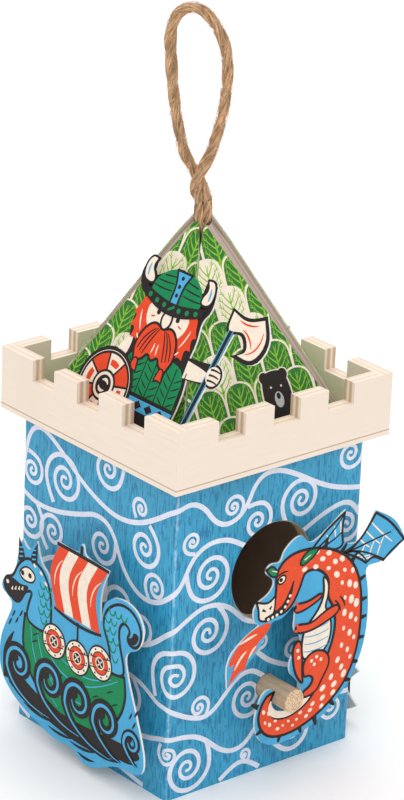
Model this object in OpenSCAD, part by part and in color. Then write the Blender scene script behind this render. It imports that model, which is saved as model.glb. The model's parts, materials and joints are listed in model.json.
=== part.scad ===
// Castle nest box: a wooden tower with a round entrance and a perch, a deck with a
// crenellated parapet, a four-sided pyramid roof and a jute loop to hang it by.
// Printed paper covers the walls and the roof, and card figures stand off them on foam pads.
// Origin: centre of the base on the ground. Front faces -Y, +Z is up.

/* [Tower] */
// Outside width of the papered tower
tower_w = 88.2; // [60:0.2:140]
// Height of the tower up to the deck
tower_h = 123; // [100:1:200]
// Thickness of the wall panels
wall_t = 5; // [3:0.5:9]
// Thickness of the floor panel
floor_t = 4; // [3:0.5:8]
// Radius of the rounded upright corners
corner_r = 2.5; // [1:0.5:6]
// Thickness of the printed wall paper
wrap_t = 0.3; // [0.2:0.1:1]

/* [Entrance and perch] */
// Diameter of the entrance hole
entrance_d = 37.4; // [25:0.2:45]
// Height of the entrance's centre above the ground
entrance_z = 79.5; // [65:0.5:95]
// Distance of entrance and perch from the middle of the wall, to the right
entrance_x = 1.5; // [-5:0.5:5]
// Diameter of the perch dowel
perch_d = 9; // [6:0.5:12]
// Length of dowel that stands out of the wall
perch_out = 16.3; // [13:0.1:40]
// Height of the perch's axis above the ground
perch_z = 33.5; // [30:0.5:38]
// Radial gap between the dowel and its hole
perch_gap = 0.05; // [0.02:0.01:0.2]

/* [Deck and parapet] */
// How far the deck and the parapet stand out past the tower on each side
deck_overhang = 5.9; // [2:0.1:15]
// Thickness of the deck plate
deck_t = 2; // [1.5:0.5:5]
// Thickness of the parapet strips
parapet_t = 5.4; // [3:0.2:8]
// Height of the parapet strips above the deck plate
parapet_h = 22; // [14:1:40]
// Depth of the crenels
crenel_h = 8; // [4:0.5:12]
// Length of the merlons at the corners
corner_merlon = 18.4; // [12:0.2:26]
// Length of the two merlons between them
inner_merlon = 13.2; // [8:0.2:20]

/* [Roof] */
// Gap between the parapet and the foot of the roof
roof_gap = 4.1; // [2:0.1:5.4]
// Height above the deck at which the front and left panels would meet in a point
roof_rise = 80.5; // [50:0.5:110]
// How much higher the rear and right panels, which are a little steeper, would meet
rear_extra = 2.5; // [0:0.5:4]
// Thickness of the roof panels
roof_t = 3; // [2:0.2:4]
// Thickness of the printed roof sheets
print_t = 0.25; // [0.2:0.05:0.6]
// Bare strip between the front print and the right-hand ridge, at the deck
bare_low = 2.2; // [0:0.2:5]
// The same at the top of the roof
bare_high = 4.6; // [0:0.2:6]

/* [Cord] */
// Diameter of the jute cord
cord_d = 4.2; // [3:0.1:4.3]
// Radius of the two strands squeezed together in the roof's opening
neck_r = 2.9; // [2:0.1:3.5]
// Radius of the knot under the roof's opening
knot_r = 6.5; // [5:0.5:8]
// Turn of the loop from the front, seen from above
loop_turn = -41; // [-90:1:90]

/* [Card figures] */
// Thickness of the card
card_t = 0.8; // [0.4:0.1:2]
// Side of a square foam pad
pad_w = 9; // [6:1:10]
// Thickness of one foam pad
pad_t = 4.6; // [2:0.2:6]

/* [Hidden] */
$fn = 96;
// Overshoot of cutting tools past the faces that they cut
cut = 1;
// Larger than any dimension of the nest box, for half-space blocks
big = 400;
box_w = tower_w - 2 * wrap_t;
inner_w = box_w - 2 * wall_t;
deck_w = tower_w + 2 * deck_overhang;
deck_top = tower_h + deck_t;
crenel_w = (deck_w - 2 * corner_merlon - 2 * inner_merlon) / 3;
roof_w = deck_w - 2 * parapet_t - 2 * roof_gap;
roof_half = roof_w / 2;
roof_rise_rear = roof_rise + rear_extra;
// Margin of the wall paper's openings round the entrance and the perch
paper_margin = 0.3;
// Chamfer on the dowel's end
perch_chamfer = 0.6;
// Radial gap between the squeezed cord and the roof's opening
neck_gap = 0.4;
opening_r = neck_r + neck_gap;
// Height above the front panels' meeting point where the loop meets the neck and tilts
pivot_lift = 2;
pivot_z = deck_top + roof_rise + pivot_lift;
// Width of the V-shaped gap between neighbouring tips, and how far it runs down
tip_gap_w = 3.6;
tip_gap_h = 8;
// Margin of a roof print along the edges it shares with another print
print_margin = 0.2;
// Distance from the printed wall or roof to the back of a card
wall_standoff = 2 * pad_t;
roof_standoff = pad_t;
// Steps of curve between two control points of a card outline
curve_steps = 4;

// Card outlines: control points of closed curves, to the right and upwards as seen from
// outside. A point that is given twice is a sharp corner.
ship_outline = [
    [-43, 55], [-42, 60], [-35, 62], [-34, 70], [-31, 79], [-31, 79], [-27, 75], [-22.5, 81],
    [-22.5, 81], [-20, 73], [-15, 70.5], [-14.5, 66], [-14, 74], [-9.5, 85.2], [-9.5, 85.2],
    [2, 84.8], [2.2, 89.4], [4.6, 89.4], [4.8, 84.8], [19, 84.6], [19, 84.6], [15, 76], [14.6, 67],
    [15.6, 62], [16.5, 72], [25, 77], [35, 76], [40, 69], [37, 60], [29, 57], [31, 48], [37, 34],
    [43, 18], [40, 11], [27, 11], [18, 6], [8, 2.4], [1, 8], [-8, 6], [-20, 9], [-33, 13],
    [-43, 21], [-43.5, 34], [-39, 44], [-35.5, 51], [-39, 53.5]
];
dragon_outline = [
    [-26, 44], [-26, 44], [-27, 56], [-17, 63], [-11, 65], [-15, 67], [-15, 74], [-8, 76],
    [-5, 81], [-11, 85], [-8, 88.5], [-3, 87], [-2, 92], [6, 97], [10, 91], [16, 93], [27, 100.5],
    [27, 100.5], [25, 92], [28, 86], [37, 86], [42, 96.5], [42, 96.5], [52, 91], [57.5, 81.5],
    [57.5, 81.5], [47, 74.5], [37.5, 76], [40.5, 66], [41, 50], [38, 38], [31, 27], [19, 18],
    [2, 13.6], [-8, 16], [-13, 25], [-10, 36], [-6, 38.5], [-2.5, 36], [-7.5, 31], [-6, 24.6],
    [1, 23.4], [9, 26], [10.6, 31], [8, 38], [3, 42], [4, 49], [9, 50], [8, 57], [4.6, 58],
    [4.8, 64], [5.2, 70], [-1, 64.5], [-7, 65.5], [-10, 57], [-19, 49]
];
serpent_outline = [
    [-24, 1.5], [-31, 3], [-38, 7.5], [-38, 7.5], [-31, 12], [-33, 17], [-38, 22], [-38, 22],
    [-30, 25], [-28, 36], [-18, 47], [-4, 49], [8, 42], [12, 35], [16, 42], [13, 54], [11, 66],
    [16, 77], [23, 79], [26, 85], [29, 79], [39, 76], [42, 69], [36, 64], [27, 64], [25, 58],
    [27, 44], [30, 30], [32, 14], [38, 8], [32, 1.5]
];
viking_body = [
    [-4, 67.5], [-8, 68], [-11, 60], [-7, 54], [-3, 53], [-6, 44], [-4, 38], [-2, 30], [0, 18],
    [3, 4], [18, 3], [28, 8], [32, 17], [31.5, 31], [28, 37], [29, 45], [27, 53], [30.5, 57],
    [28, 68], [22, 67.5], [23, 60], [17, 64], [9.5, 67.5], [2, 64], [-4, 60]
];
viking_axe = [
    [43, 53], [48, 54.5], [52, 49], [46, 46], [46, 46], [59, 45], [63, 55], [56, 64], [56, 64],
    [48, 60], [39, 62], [39, 62], [39, 53]
];
viking_shield = [-6.5, 17.6];
viking_shield_r = 14.4;
viking_hand = [42.5, 37];
viking_hand_r = 4.4;
viking_axe_foot = [37, 14];
viking_axe_head = [43, 58.4];
viking_shaft_w = 2.8;
viking_shoulder = [24, 35];
viking_arm_w = 7.8;
// Middle of the curl in the dragon's tail, which the perch passes through
dragon_curl = [1.5, 33.5];
// Gap between the parapet and the warrior's shield, which sets how high it stands
shield_gap = 0.5;

// Foam pads, at their centres on the face that they are stuck to
ship_pads = [[-20, 36], [14, 30], [2, 70]];
dragon_pads = [[31, 52], [21, 30.5], [28, 79]];
serpent_pads = [[-12, 30], [20, 20], [18, 68]];
viking_pads = [[9, 48], [15, 25]];
// Shifts of the ships on their walls. The rear one is as low as its lowest wave allows, and
// its stern stays behind the tower
ship_shift = [1, 0, 0];
rear_ship_shift = [-4.5, -2, 0];

// Route of the hanging loop: along its plane, out of its plane, above the pivot
loop_route = [
    [-2.2, 0, 0], [-3.2, -0.9, 3.5], [-2.7, -2.1, 8], [-0.6, -1.5, 12.5], [1.6, -0.5, 17],
    [3.4, 0, 23], [5.1, 0, 30], [6.1, 0, 37], [6.6, 0, 44], [6.5, 0, 50], [5.6, 0, 56],
    [3.5, 0, 61.5], [0.5, 0, 66.3], [-3.3, 0, 69.7], [-7.3, 0, 70.5], [-11.1, 0, 68.5],
    [-13.3, 0, 64], [-13.8, 0, 58], [-13.3, 0, 51], [-12.6, 0, 44], [-11.7, 0, 37],
    [-10.5, 0, 30], [-9, 0, 23], [-7.3, 0.5, 17], [-5, 1.5, 12.5], [-1.9, 2.1, 8],
    [1, 0.9, 3.5], [2.2, 0, 0]
];
cord_sides = 8;

// ---- Shared shapes ----

// Square of width w with corners rounded to r, centred
module rounded_square(w, r) {
    square([w, w - 2 * r], center = true);
    square([w - 2 * r, w], center = true);
    for (x = [-1, 1], y = [-1, 1])
        translate([x * (w / 2 - r), y * (w / 2 - r)]) circle(r);
}

// Closed curve through the middles of the control polygon's sides
function curve(p) = [
    for (i = [0 : len(p) - 1], k = [0 : curve_steps - 1])
        let (
            a = p[i], b = p[(i + 1) % len(p)], c = p[(i + 2) % len(p)], t = k / curve_steps
        )
        (1 - t) ^ 2 * (a + b) / 2 + 2 * t * (1 - t) * b + t ^ 2 * (b + c) / 2
];

// Bar of width w from point a to point b
module bar(a, b, w) {
    d = b - a;
    translate(a) rotate(atan2(d.y, d.x)) translate([0, -w / 2]) square([norm(d), w]);
}

// Faces: 0 is the front, 90 the right, 180 the rear and 270 the left.
// Puts a flat shape, drawn as seen from outside, on a wall at a distance from its paper
module on_wall(turn, standoff) {
    rotate([0, 0, turn]) translate([0, -tower_w / 2 - standoff, 0]) rotate([90, 0, 0])
        children();
}

// Rise of the roof plane that faces a side
function rise_of(turn) = turn == 0 || turn == 270 ? roof_rise : roof_rise_rear;
function slope_of(turn) = atan(rise_of(turn) / roof_half);
function slant_of(turn) = norm([rise_of(turn), roof_half]);

// Puts a flat shape on a roof plane, its Y axis running up the slope from the deck
module on_roof(turn, standoff) {
    rotate([0, 0, turn]) translate([0, -roof_half, deck_top]) rotate([slope_of(turn), 0, 0])
        translate([0, 0, standoff]) children();
}

// ---- Tower ----

// Everything inside the rounded outline of the wooden box
module box_block() {
    linear_extrude(tower_h) rounded_square(box_w, corner_r - wrap_t);
}

// Front or rear wall, over the full width of the box
module wide_wall(turn) {
    intersection() {
        box_block();
        rotate([0, 0, turn]) translate([-box_w / 2, -box_w / 2, 0])
            cube([box_w, wall_t, tower_h]);
    }
}

// Left or right wall, fitted between the front and the rear wall
module narrow_wall(turn) {
    rotate([0, 0, turn]) translate([-inner_w / 2, -box_w / 2, 0])
        cube([inner_w, wall_t, tower_h]);
}

// Tool for a round hole through the front
module front_hole(z, r) {
    translate([entrance_x, -inner_w / 2 + cut, z]) rotate([90, 0, 0])
        cylinder(r = r, h = wall_t + wrap_t + 2 * cut);
}

module wall_front() {
    color("tan") difference() {
        wide_wall(0);
        front_hole(entrance_z, entrance_d / 2);
        front_hole(perch_z, perch_d / 2 + perch_gap);
    }
}

module wall_rear() {
    color("tan") wide_wall(180);
}

module wall_left() {
    color("tan") narrow_wall(270);
}

module wall_right() {
    color("tan") narrow_wall(90);
}

module floor_panel() {
    color("burlywood") translate([-inner_w / 2, -inner_w / 2, 0])
        cube([inner_w, inner_w, floor_t]);
}

// One printed sheet round all four walls
module wall_wrap() {
    color("steelblue") difference() {
        linear_extrude(tower_h) difference() {
            rounded_square(tower_w, corner_r);
            rounded_square(box_w, corner_r - wrap_t);
        }
        front_hole(entrance_z, entrance_d / 2 + paper_margin);
        front_hole(perch_z, perch_d / 2 + paper_margin);
    }
}

module perch() {
    length = wall_t + wrap_t + perch_out;
    color("peru") translate([entrance_x, -inner_w / 2, perch_z]) rotate([90, 0, 0])
        rotate_extrude() polygon([
            [0, 0], [perch_d / 2, 0], [perch_d / 2, length - perch_chamfer],
            [perch_d / 2 - perch_chamfer, length], [0, length]
        ]);
}

// ---- Deck and parapet ----

module deck_plate() {
    color("wheat") translate([-deck_w / 2, -deck_w / 2, tower_h])
        cube([deck_w, deck_w, deck_t]);
}

// One parapet strip with its three crenels; inset shortens it at both ends
module parapet_strip(turn, inset) {
    color("antiquewhite") rotate([0, 0, turn]) difference() {
        translate([-deck_w / 2 + inset, -deck_w / 2, deck_top])
            cube([deck_w - 2 * inset, parapet_t, parapet_h]);
        for (i = [0 : 2])
            translate([
                -deck_w / 2 + corner_merlon + i * (crenel_w + inner_merlon),
                -deck_w / 2 - cut, deck_top + parapet_h - crenel_h
            ])
                cube([crenel_w, parapet_t + 2 * cut, crenel_h + cut]);
    }
}

module parapet_front() {
    parapet_strip(0, parapet_t);
}

module parapet_rear() {
    parapet_strip(180, parapet_t);
}

module parapet_left() {
    parapet_strip(270, 0);
}

module parapet_right() {
    parapet_strip(90, 0);
}

// ---- Roof ----

// Everything under a roof plane that is sunk by a depth
module under_plane(turn, depth) {
    on_roof(turn, -depth) translate([-big / 2, -big / 2, -big]) cube([big, big, big]);
}

// Opening for the cord, and the V-shaped gaps that part the tips
module tip_openings() {
    translate([0, 0, deck_top]) cylinder(r = opening_r, h = roof_rise_rear);
    top = deck_top + roof_rise_rear;
    low = deck_top + roof_rise * (1 - opening_r / roof_half) - tip_gap_h;
    for (turn = [45, 135])
        rotate([0, 0, turn]) rotate([90, 0, 0])
            translate([0, 0, -big / 2]) linear_extrude(big)
                polygon([[0, low], [tip_gap_w / 2, top], [-tip_gap_w / 2, top]]);
}

// One roof panel. Its neighbours' planes, sunk by a depth, bound it at either end
module roof_panel(turn, next_depth, last_depth) {
    color("rosybrown") difference() {
        intersection() {
            translate([-big / 2, -big / 2, deck_top]) cube([big, big, big / 2]);
            under_plane(turn, 0);
            under_plane((turn + 90) % 360, next_depth);
            under_plane((turn + 270) % 360, last_depth);
        }
        under_plane(turn, roof_t);
        tip_openings();
    }
}

module roof_panel_front() {
    roof_panel(0, roof_t, 0);
}

module roof_panel_right() {
    roof_panel(90, roof_t, 0);
}

module roof_panel_rear() {
    roof_panel(180, 0, 0);
}

module roof_panel_left() {
    roof_panel(270, roof_t, roof_t);
}

// One printed sheet: a triangle on the roof plane, with a bare margin along each side edge
module roof_print(turn, left_low, left_high, right_low, right_high) {
    slant = slant_of(turn);
    color("forestgreen") difference() {
        on_roof(turn, 0) linear_extrude(print_t) polygon([
            [-roof_half + left_low, print_margin],
            [roof_half - right_low, print_margin],
            [(left_high - right_high) / 2, slant * (1 - (left_high + right_high) / roof_w)]
        ]);
        tip_openings();
    }
}

module roof_print_front() {
    roof_print(0, print_margin, print_margin, bare_low, bare_high);
}

module roof_print_right() {
    roof_print(90, print_margin, print_margin, print_margin, print_margin);
}

module roof_print_rear() {
    roof_print(180, print_margin, print_margin, print_margin, print_margin);
}

module roof_print_left() {
    roof_print(270, print_margin, bare_low, print_margin, print_margin);
}

// ---- Card figures ----

module ship_shape() {
    polygon(curve(ship_outline));
}

module ship_cutout() {
    color("skyblue") on_wall(270, wall_standoff) translate(ship_shift)
        linear_extrude(card_t) ship_shape();
}

module rear_ship_cutout() {
    color("skyblue") on_wall(180, wall_standoff) translate(rear_ship_shift)
        linear_extrude(card_t) ship_shape();
}

// Moves the dragon so that its tail curls round the perch
module round_the_perch() {
    translate([entrance_x - dragon_curl.x, perch_z - dragon_curl.y]) children();
}

module dragon_cutout() {
    color("tomato") on_wall(0, wall_standoff) round_the_perch() linear_extrude(card_t)
        polygon(curve(dragon_outline));
}

module serpent_cutout() {
    color("mediumseagreen") on_wall(90, wall_standoff) linear_extrude(card_t)
        polygon(curve(serpent_outline));
}

// Moves the warrior up the roof until its shield clears the parapet
module above_the_parapet() {
    slope = slope_of(270);
    reach = print_t + roof_standoff + card_t;
    foot = (reach * sin(slope) - roof_gap + shield_gap) / cos(slope);
    translate([0, foot - viking_shield.y + viking_shield_r]) children();
}

module viking_cutout() {
    color("seagreen") on_roof(270, print_t + roof_standoff) above_the_parapet()
        linear_extrude(card_t) {
        polygon(curve(viking_body));
        polygon(curve(viking_axe));
        translate(viking_shield) circle(viking_shield_r);
        translate(viking_hand) circle(viking_hand_r);
        bar(viking_axe_foot, viking_axe_head, viking_shaft_w);
        bar(viking_shoulder, viking_hand, viking_arm_w);
    }
}

// Stacks of square pads at the given places
module pads(places, layers) {
    for (p = places, i = [0 : layers - 1])
        translate([p.x - pad_w / 2, p.y - pad_w / 2, i * pad_t]) cube([pad_w, pad_w, pad_t]);
}

module foam_pads() {
    color("white") {
        on_wall(270, 0) translate(ship_shift) pads(ship_pads, 2);
        on_wall(180, 0) translate(rear_ship_shift) pads(ship_pads, 2);
        on_wall(0, 0) round_the_perch() pads(dragon_pads, 2);
        on_wall(90, 0) pads(serpent_pads, 2);
        on_roof(270, print_t) above_the_parapet() pads(viking_pads, 1);
    }
}

// ---- Cord ----

// Height of the knot's centre: as high as it goes between the panels
knot_z = deck_top + roof_rise - (roof_t + knot_r + neck_gap) * slant_of(0) / roof_half;
neck_top = pivot_z - cord_d / 2 - neck_gap;

module cord_knot() {
    color("burlywood") translate([0, 0, knot_z]) sphere(knot_r);
}

// The two strands, squeezed together, from the knot out through the opening
module cord_neck() {
    bottom = knot_z + knot_r * cos(asin(neck_r / knot_r));
    color("burlywood") difference() {
        translate([0, 0, bottom]) cylinder(r = neck_r, h = neck_top - bottom);
        translate([0, 0, knot_z]) sphere(knot_r);
    }
}

// Point of the loop in the nest box's frame
function loop_point(p) = [
    p.x * cos(loop_turn) - p.y * sin(loop_turn),
    p.x * sin(loop_turn) + p.y * cos(loop_turn),
    pivot_z + p.z
];
function unit(v) = v / norm(v);

// Tube swept along a route, with rings square to it and flat ends
module swept_tube(route, r, sides) {
    n = len(route);
    side_axis = [-sin(loop_turn), cos(loop_turn), 0];
    rings = [
        for (i = [0 : n - 1])
            let (
                along = unit(
                    i == 0 ? [0, 0, 1] : i == n - 1 ? [0, 0, -1] : route[i + 1] - route[i - 1]
                ),
                u = unit(cross(side_axis, along)),
                v = cross(along, u)
            )
            for (k = [0 : sides - 1])
                route[i] + r * (cos(360 * k / sides) * u + sin(360 * k / sides) * v)
    ];
    sheath = [
        for (i = [0 : n - 2], k = [0 : sides - 1])
            let (a = i * sides + k, b = i * sides + (k + 1) % sides)
            for (f = [[a, b + sides, b], [a, a + sides, b + sides]]) f
    ];
    first_end = [[for (k = [0 : sides - 1]) k]];
    last_end = [[for (k = [sides - 1 : -1 : 0]) (n - 1) * sides + k]];
    polyhedron(rings, concat(sheath, first_end, last_end));
}

module hanging_loop() {
    color("peru") swept_tube([for (p = loop_route) loop_point(p)], cord_d / 2, cord_sides);
}

wall_front();
wall_rear();
wall_left();
wall_right();
floor_panel();
wall_wrap();
perch();
deck_plate();
parapet_front();
parapet_rear();
parapet_left();
parapet_right();
roof_panel_front();
roof_panel_rear();
roof_panel_left();
roof_panel_right();
roof_print_front();
roof_print_rear();
roof_print_left();
roof_print_right();
ship_cutout();
dragon_cutout();
serpent_cutout();
rear_ship_cutout();
viking_cutout();
foam_pads();
cord_knot();
cord_neck();
hanging_loop();
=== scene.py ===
"""Looks of a wooden nest box that is built as a castle tower, around its fixed CAD frame.

Every piece is made in the frame's own metres. A design on a card, a wall or the roof is drawn
flat in millimetres, to the right and upwards as seen from outside, and then laid on its face.
"""

import json
import math
import random

import bpy
from mathutils import Matrix, Vector
from mathutils.geometry import convex_hull_2d

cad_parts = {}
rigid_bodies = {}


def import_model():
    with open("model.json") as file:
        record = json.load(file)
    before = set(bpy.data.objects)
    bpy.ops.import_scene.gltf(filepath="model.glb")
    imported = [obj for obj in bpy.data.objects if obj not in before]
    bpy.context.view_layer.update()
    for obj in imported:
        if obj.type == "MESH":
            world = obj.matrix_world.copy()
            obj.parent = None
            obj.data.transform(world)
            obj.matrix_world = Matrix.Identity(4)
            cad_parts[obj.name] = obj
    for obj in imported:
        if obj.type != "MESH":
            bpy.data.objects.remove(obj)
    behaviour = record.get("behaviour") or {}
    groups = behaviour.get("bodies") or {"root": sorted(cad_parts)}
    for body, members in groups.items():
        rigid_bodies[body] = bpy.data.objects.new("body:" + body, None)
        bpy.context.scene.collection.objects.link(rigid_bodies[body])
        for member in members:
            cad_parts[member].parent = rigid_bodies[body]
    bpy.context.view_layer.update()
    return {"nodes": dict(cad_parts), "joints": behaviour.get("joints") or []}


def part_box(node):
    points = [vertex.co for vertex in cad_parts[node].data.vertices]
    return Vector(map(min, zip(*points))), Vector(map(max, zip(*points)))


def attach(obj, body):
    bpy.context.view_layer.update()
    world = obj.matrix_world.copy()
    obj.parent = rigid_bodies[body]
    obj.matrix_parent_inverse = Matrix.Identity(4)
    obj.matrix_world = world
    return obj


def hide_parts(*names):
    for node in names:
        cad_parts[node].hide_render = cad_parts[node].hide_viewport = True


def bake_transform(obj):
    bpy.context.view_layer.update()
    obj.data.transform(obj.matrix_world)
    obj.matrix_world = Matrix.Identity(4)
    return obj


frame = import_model()

bl_info = {
    "name": "Castle Nest Box",
    "version": (1, 0, 0),
    "blender": (4, 5, 0),
    "location": "3D View > Sidebar > Nest Box",
    "description": "Builds the looks of a wooden castle nest box on its CAD frame",
    "category": "Add Mesh",
}

MM = 0.001
FRONT, RIGHT, REAR, LEFT = 0, 90, 180, 270
SIDES = (("front", FRONT), ("right", RIGHT), ("rear", REAR), ("left", LEFT))

# ---- Places and sizes, nearly all from the frame ----

DECK_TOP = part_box("deck_plate")[1].z
TOWER_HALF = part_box("wall_wrap")[1].x
ROOF_HALF = -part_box("roof_panel_front")[0].y
FOLD = 2.5  # radius of the tower's corners, in millimetres
WALL_FLAT = 2 * (TOWER_HALF / MM - FOLD)  # flat stretch of a wall between two corners
QUARTER = WALL_FLAT + math.pi / 2 * FOLD  # from the middle of a wall to the next one's
PIVOT_Z = frame["joints"][1]["pos_m"][2]


def linear(hexa):
    """Turns an sRGB hex colour into linear red, green, blue and alpha."""
    parts = [int(hexa[i : i + 2], 16) / 255 for i in (0, 2, 4)]
    return [c / 12.92 if c <= 0.04045 else ((c + 0.055) / 1.055) ** 2.4 for c in parts] + [1.0]


def colour_property(name, description, hexa):
    """A colour that a user can change, from its hex value."""
    return bpy.props.FloatVectorProperty(
        name=name, description=description, default=linear(hexa), size=4, subtype="COLOR",
        min=0, max=1,
    )


def length_property(name, description, default):
    """A length that a user can change, in metres."""
    return bpy.props.FloatProperty(
        name=name, description=description, default=default, min=0, unit="LENGTH", precision=5
    )


class NestBoxSizes(bpy.types.PropertyGroup):
    """Sizes that a user would change"""

    cord: length_property("Cord", "Diameter of the jute cord", 4.2 * MM)
    lay: length_property("Lay", "Length in which the cord's plies turn once", 22 * MM)
    fuzz: length_property("Fuzz", "Length of the loose fibres on the cord", 3.5 * MM)
    ink: length_property("Ink", "Height of one printed layer", 0.02 * MM)
    scroll: length_property("Scrolls", "Width of the scroll lines on the walls", 1.9 * MM)
    leaf_pitch: length_property("Leaf pitch", "Distance of the leaves in a row", 13.6 * MM)
    leaf_rise: length_property("Leaf rise", "Distance of the rows of leaves", 11.2 * MM)


class NestBoxColours(bpy.types.PropertyGroup):
    """Colours of the inks and the bare materials"""

    birch: colour_property("Birch", "Face veneer of the plywood", "F0DFCE")
    # Matched to cut sides in shade, so its brown is partly scorch and partly painted shade
    birch_core_in_shade: colour_property("Birch core in shade", "Inner veneer on the plywood's cut edges", "C9AD90")
    # Painted shade: the grey of the roof's bare plywood edge in shade, darker than the birch
    roof_ply: colour_property("Roof ply in shade", "Bare plywood of the roof", "B9A497")
    # Darkened for painted shade on the perch's side
    dowel: colour_property("Dowel", "Side of the perch", "BBA285")
    wall: colour_property("Wall paper", "Ground of the wall paper", "2F9CC4")
    wall_dark: colour_property("Wall dashes", "Dark dashes in the wall paper", "1179A6")
    scroll: colour_property("Scrolls", "Lines on the wall paper", "DFE2EE")
    black: colour_property("Black", "Black ink", "251E1C")
    cream: colour_property("Cream", "Cream ink", "F1E2CF")
    red: colour_property("Red", "Red ink", "E34722")
    orange: colour_property("Orange", "Red-orange ink of the dragon", "E54E28")
    green: colour_property("Green", "Green ink", "04844F")
    sky: colour_property("Sky", "Light blue ink", "4BA9D6")
    leaf: colour_property("Leaf", "Dark green of the leaves", "32742F")
    lime: colour_property("Lime", "Veins of the leaves", "86BE35")
    jute: colour_property("Jute", "Fibres of the cord", "B8926D")
    foam: colour_property("Foam", "Foam of the pads", "ECECE6")


def sizes():
    """The sizes as the user has set them."""
    return bpy.context.scene.nest_box_sizes


def colours():
    """The colours as the user has set them."""
    return bpy.context.scene.nest_box_colours


# ---- Modelling by hand ----


def select_only(*objects):
    """Leaves just these objects selected, the last one active."""
    for other in bpy.context.view_layer.objects:
        other.select_set(False)
    for obj in objects:
        obj.select_set(True)
    bpy.context.view_layer.objects.active = objects[-1]


def edit_all(obj, *steps):
    """Runs edit mode steps on the whole of a mesh."""
    select_only(obj)
    bpy.ops.object.mode_set(mode="EDIT")
    bpy.ops.mesh.select_all(action="SELECT")
    for step, settings in steps:
        step(**settings)
    bpy.ops.object.mode_set(mode="OBJECT")


CLOSE = 1e-7  # points this near to each other or to a cut are one


def close_up(obj, gap=CLOSE):
    """Merges doubles and turns all faces outwards."""
    edit_all(
        obj,
        (bpy.ops.mesh.remove_doubles, {"threshold": gap}),
        (bpy.ops.mesh.normals_make_consistent, {"inside": False}),
    )


def put(obj, matrix):
    """Moves an object by a matrix and applies it, so that its place is in its mesh."""
    obj.matrix_world = matrix
    select_only(obj)
    bpy.ops.object.transform_apply(location=True, rotation=True, scale=True)


def matrix_of(x_axis, y_axis, z_axis, origin):
    """The matrix with these axes and this origin."""
    matrix = Matrix.Identity(4)
    for column, axis in enumerate((x_axis, y_axis, z_axis, origin)):
        matrix.col[column][:3] = axis
    return matrix


def finish_piece(obj, name, body, slot, *nodes):
    """Names a piece, lets it ride on a body, and hides the frame's nodes that it stands for."""
    obj.name = name
    obj.data.name = name
    if body:
        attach(obj, body)
    if nodes:
        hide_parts(*nodes)
    return obj


def outwards(turn):
    """The level direction that one of the four sides faces."""
    angle = math.radians(turn)
    return Vector((math.sin(angle), -math.cos(angle), 0))


def face_of(turn, node, slope=0.0):
    """The matrix that lays a flat design on a node's outer face.

    The design's X runs to the right and its Y upwards as seen from outside. On the roof, Y
    runs up the slope from the height of the deck.
    """
    out = outwards(turn)
    right = Vector((-out.y, out.x, 0))
    normal = out * math.cos(slope) + Vector((0, 0, 1)) * math.sin(slope)
    up = normal.cross(right)
    foot = out * ROOF_HALF + Vector((0, 0, DECK_TOP)) if slope else Vector((0, 0, 0))
    mesh = frame["nodes"][node].data
    reach = max(v.co.dot(normal) for v in mesh.vertices)
    origin = foot + normal * (reach - foot.dot(normal))
    return matrix_of(right, up, normal, origin)


def slope_of(node, turn):
    """Tilt of a roof sheet's outer normal above the horizon, from its largest face."""
    out = outwards(turn)
    faces = [p for p in frame["nodes"][node].data.polygons if p.normal.dot(out) > 0.5]
    normal = max(faces, key=lambda p: p.area).normal
    return math.atan2(normal.z, normal.dot(out))


# ---- Drawing in ink ----


def ring(x, y, radius, corners=8, squash=1.0, turn=0.0):
    """Control points of a round or oval outline."""
    reach = radius / math.cos(math.pi / corners)
    cos, sin = math.cos(math.radians(turn)), math.sin(math.radians(turn))
    points = []
    for i in range(corners):
        angle = 2 * math.pi * i / corners
        a, b = reach * math.cos(angle), reach * squash * math.sin(angle)
        points.append((x + a * cos - b * sin, y + a * sin + b * cos))
    return points


def sharp(*corners):
    """Control points of an outline with sharp corners."""
    return [corner for corner in corners for _ in range(2)]


def mirrored(points, middle):
    """The same outline on the other side of an upright middle line."""
    return [(2 * middle - x, y) for x, y in points]


def spiral(x, y, outer, inner, start, turns, steps=9, haste=1.0):
    """Points of a spiral that closes in from its outer radius. Positive turns run left.

    With more haste it closes in sooner.
    """
    count = max(4, round(abs(turns) * steps))
    points = []
    for i in range(count + 1):
        t = i / count
        angle = math.radians(start) + 2 * math.pi * turns * t
        radius = inner + (outer - inner) * (1 - t) ** haste
        points.append((x + radius * math.cos(angle), y + radius * math.sin(angle)))
    return points


def polar(x, y, radius, degrees):
    """The point at this distance and angle from x, y."""
    angle = math.radians(degrees)
    return (x + radius * math.cos(angle), y + radius * math.sin(angle))


def pie(x, y, inner, outer, start, end):
    """Outline of a sector of a ring, with sharp corners."""
    # The middle of the arc pulls from further out, so that the curve reaches the outer radius
    pull = outer / math.cos(math.radians((end - start) / 2))
    return [
        *sharp(polar(x, y, outer, start)), polar(x, y, pull, (start + end) / 2),
        *sharp(polar(x, y, outer, end), polar(x, y, inner, end), polar(x, y, inner, start)),
    ]


def along(points, t):
    """Place and leftward direction at share t of a line of points."""
    lengths = [math.dist(a, b) for a, b in zip(points, points[1:])]
    left = t * sum(lengths)
    for (a, b), length in zip(zip(points, points[1:]), lengths):
        if left <= length or (a, b) == (points[-2], points[-1]):
            share = left / length
            dx, dy = (b[0] - a[0]) / length, (b[1] - a[1]) / length
            return (a[0] + (b[0] - a[0]) * share, a[1] + (b[1] - a[1]) * share), (-dy, dx)
        left -= length


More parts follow.
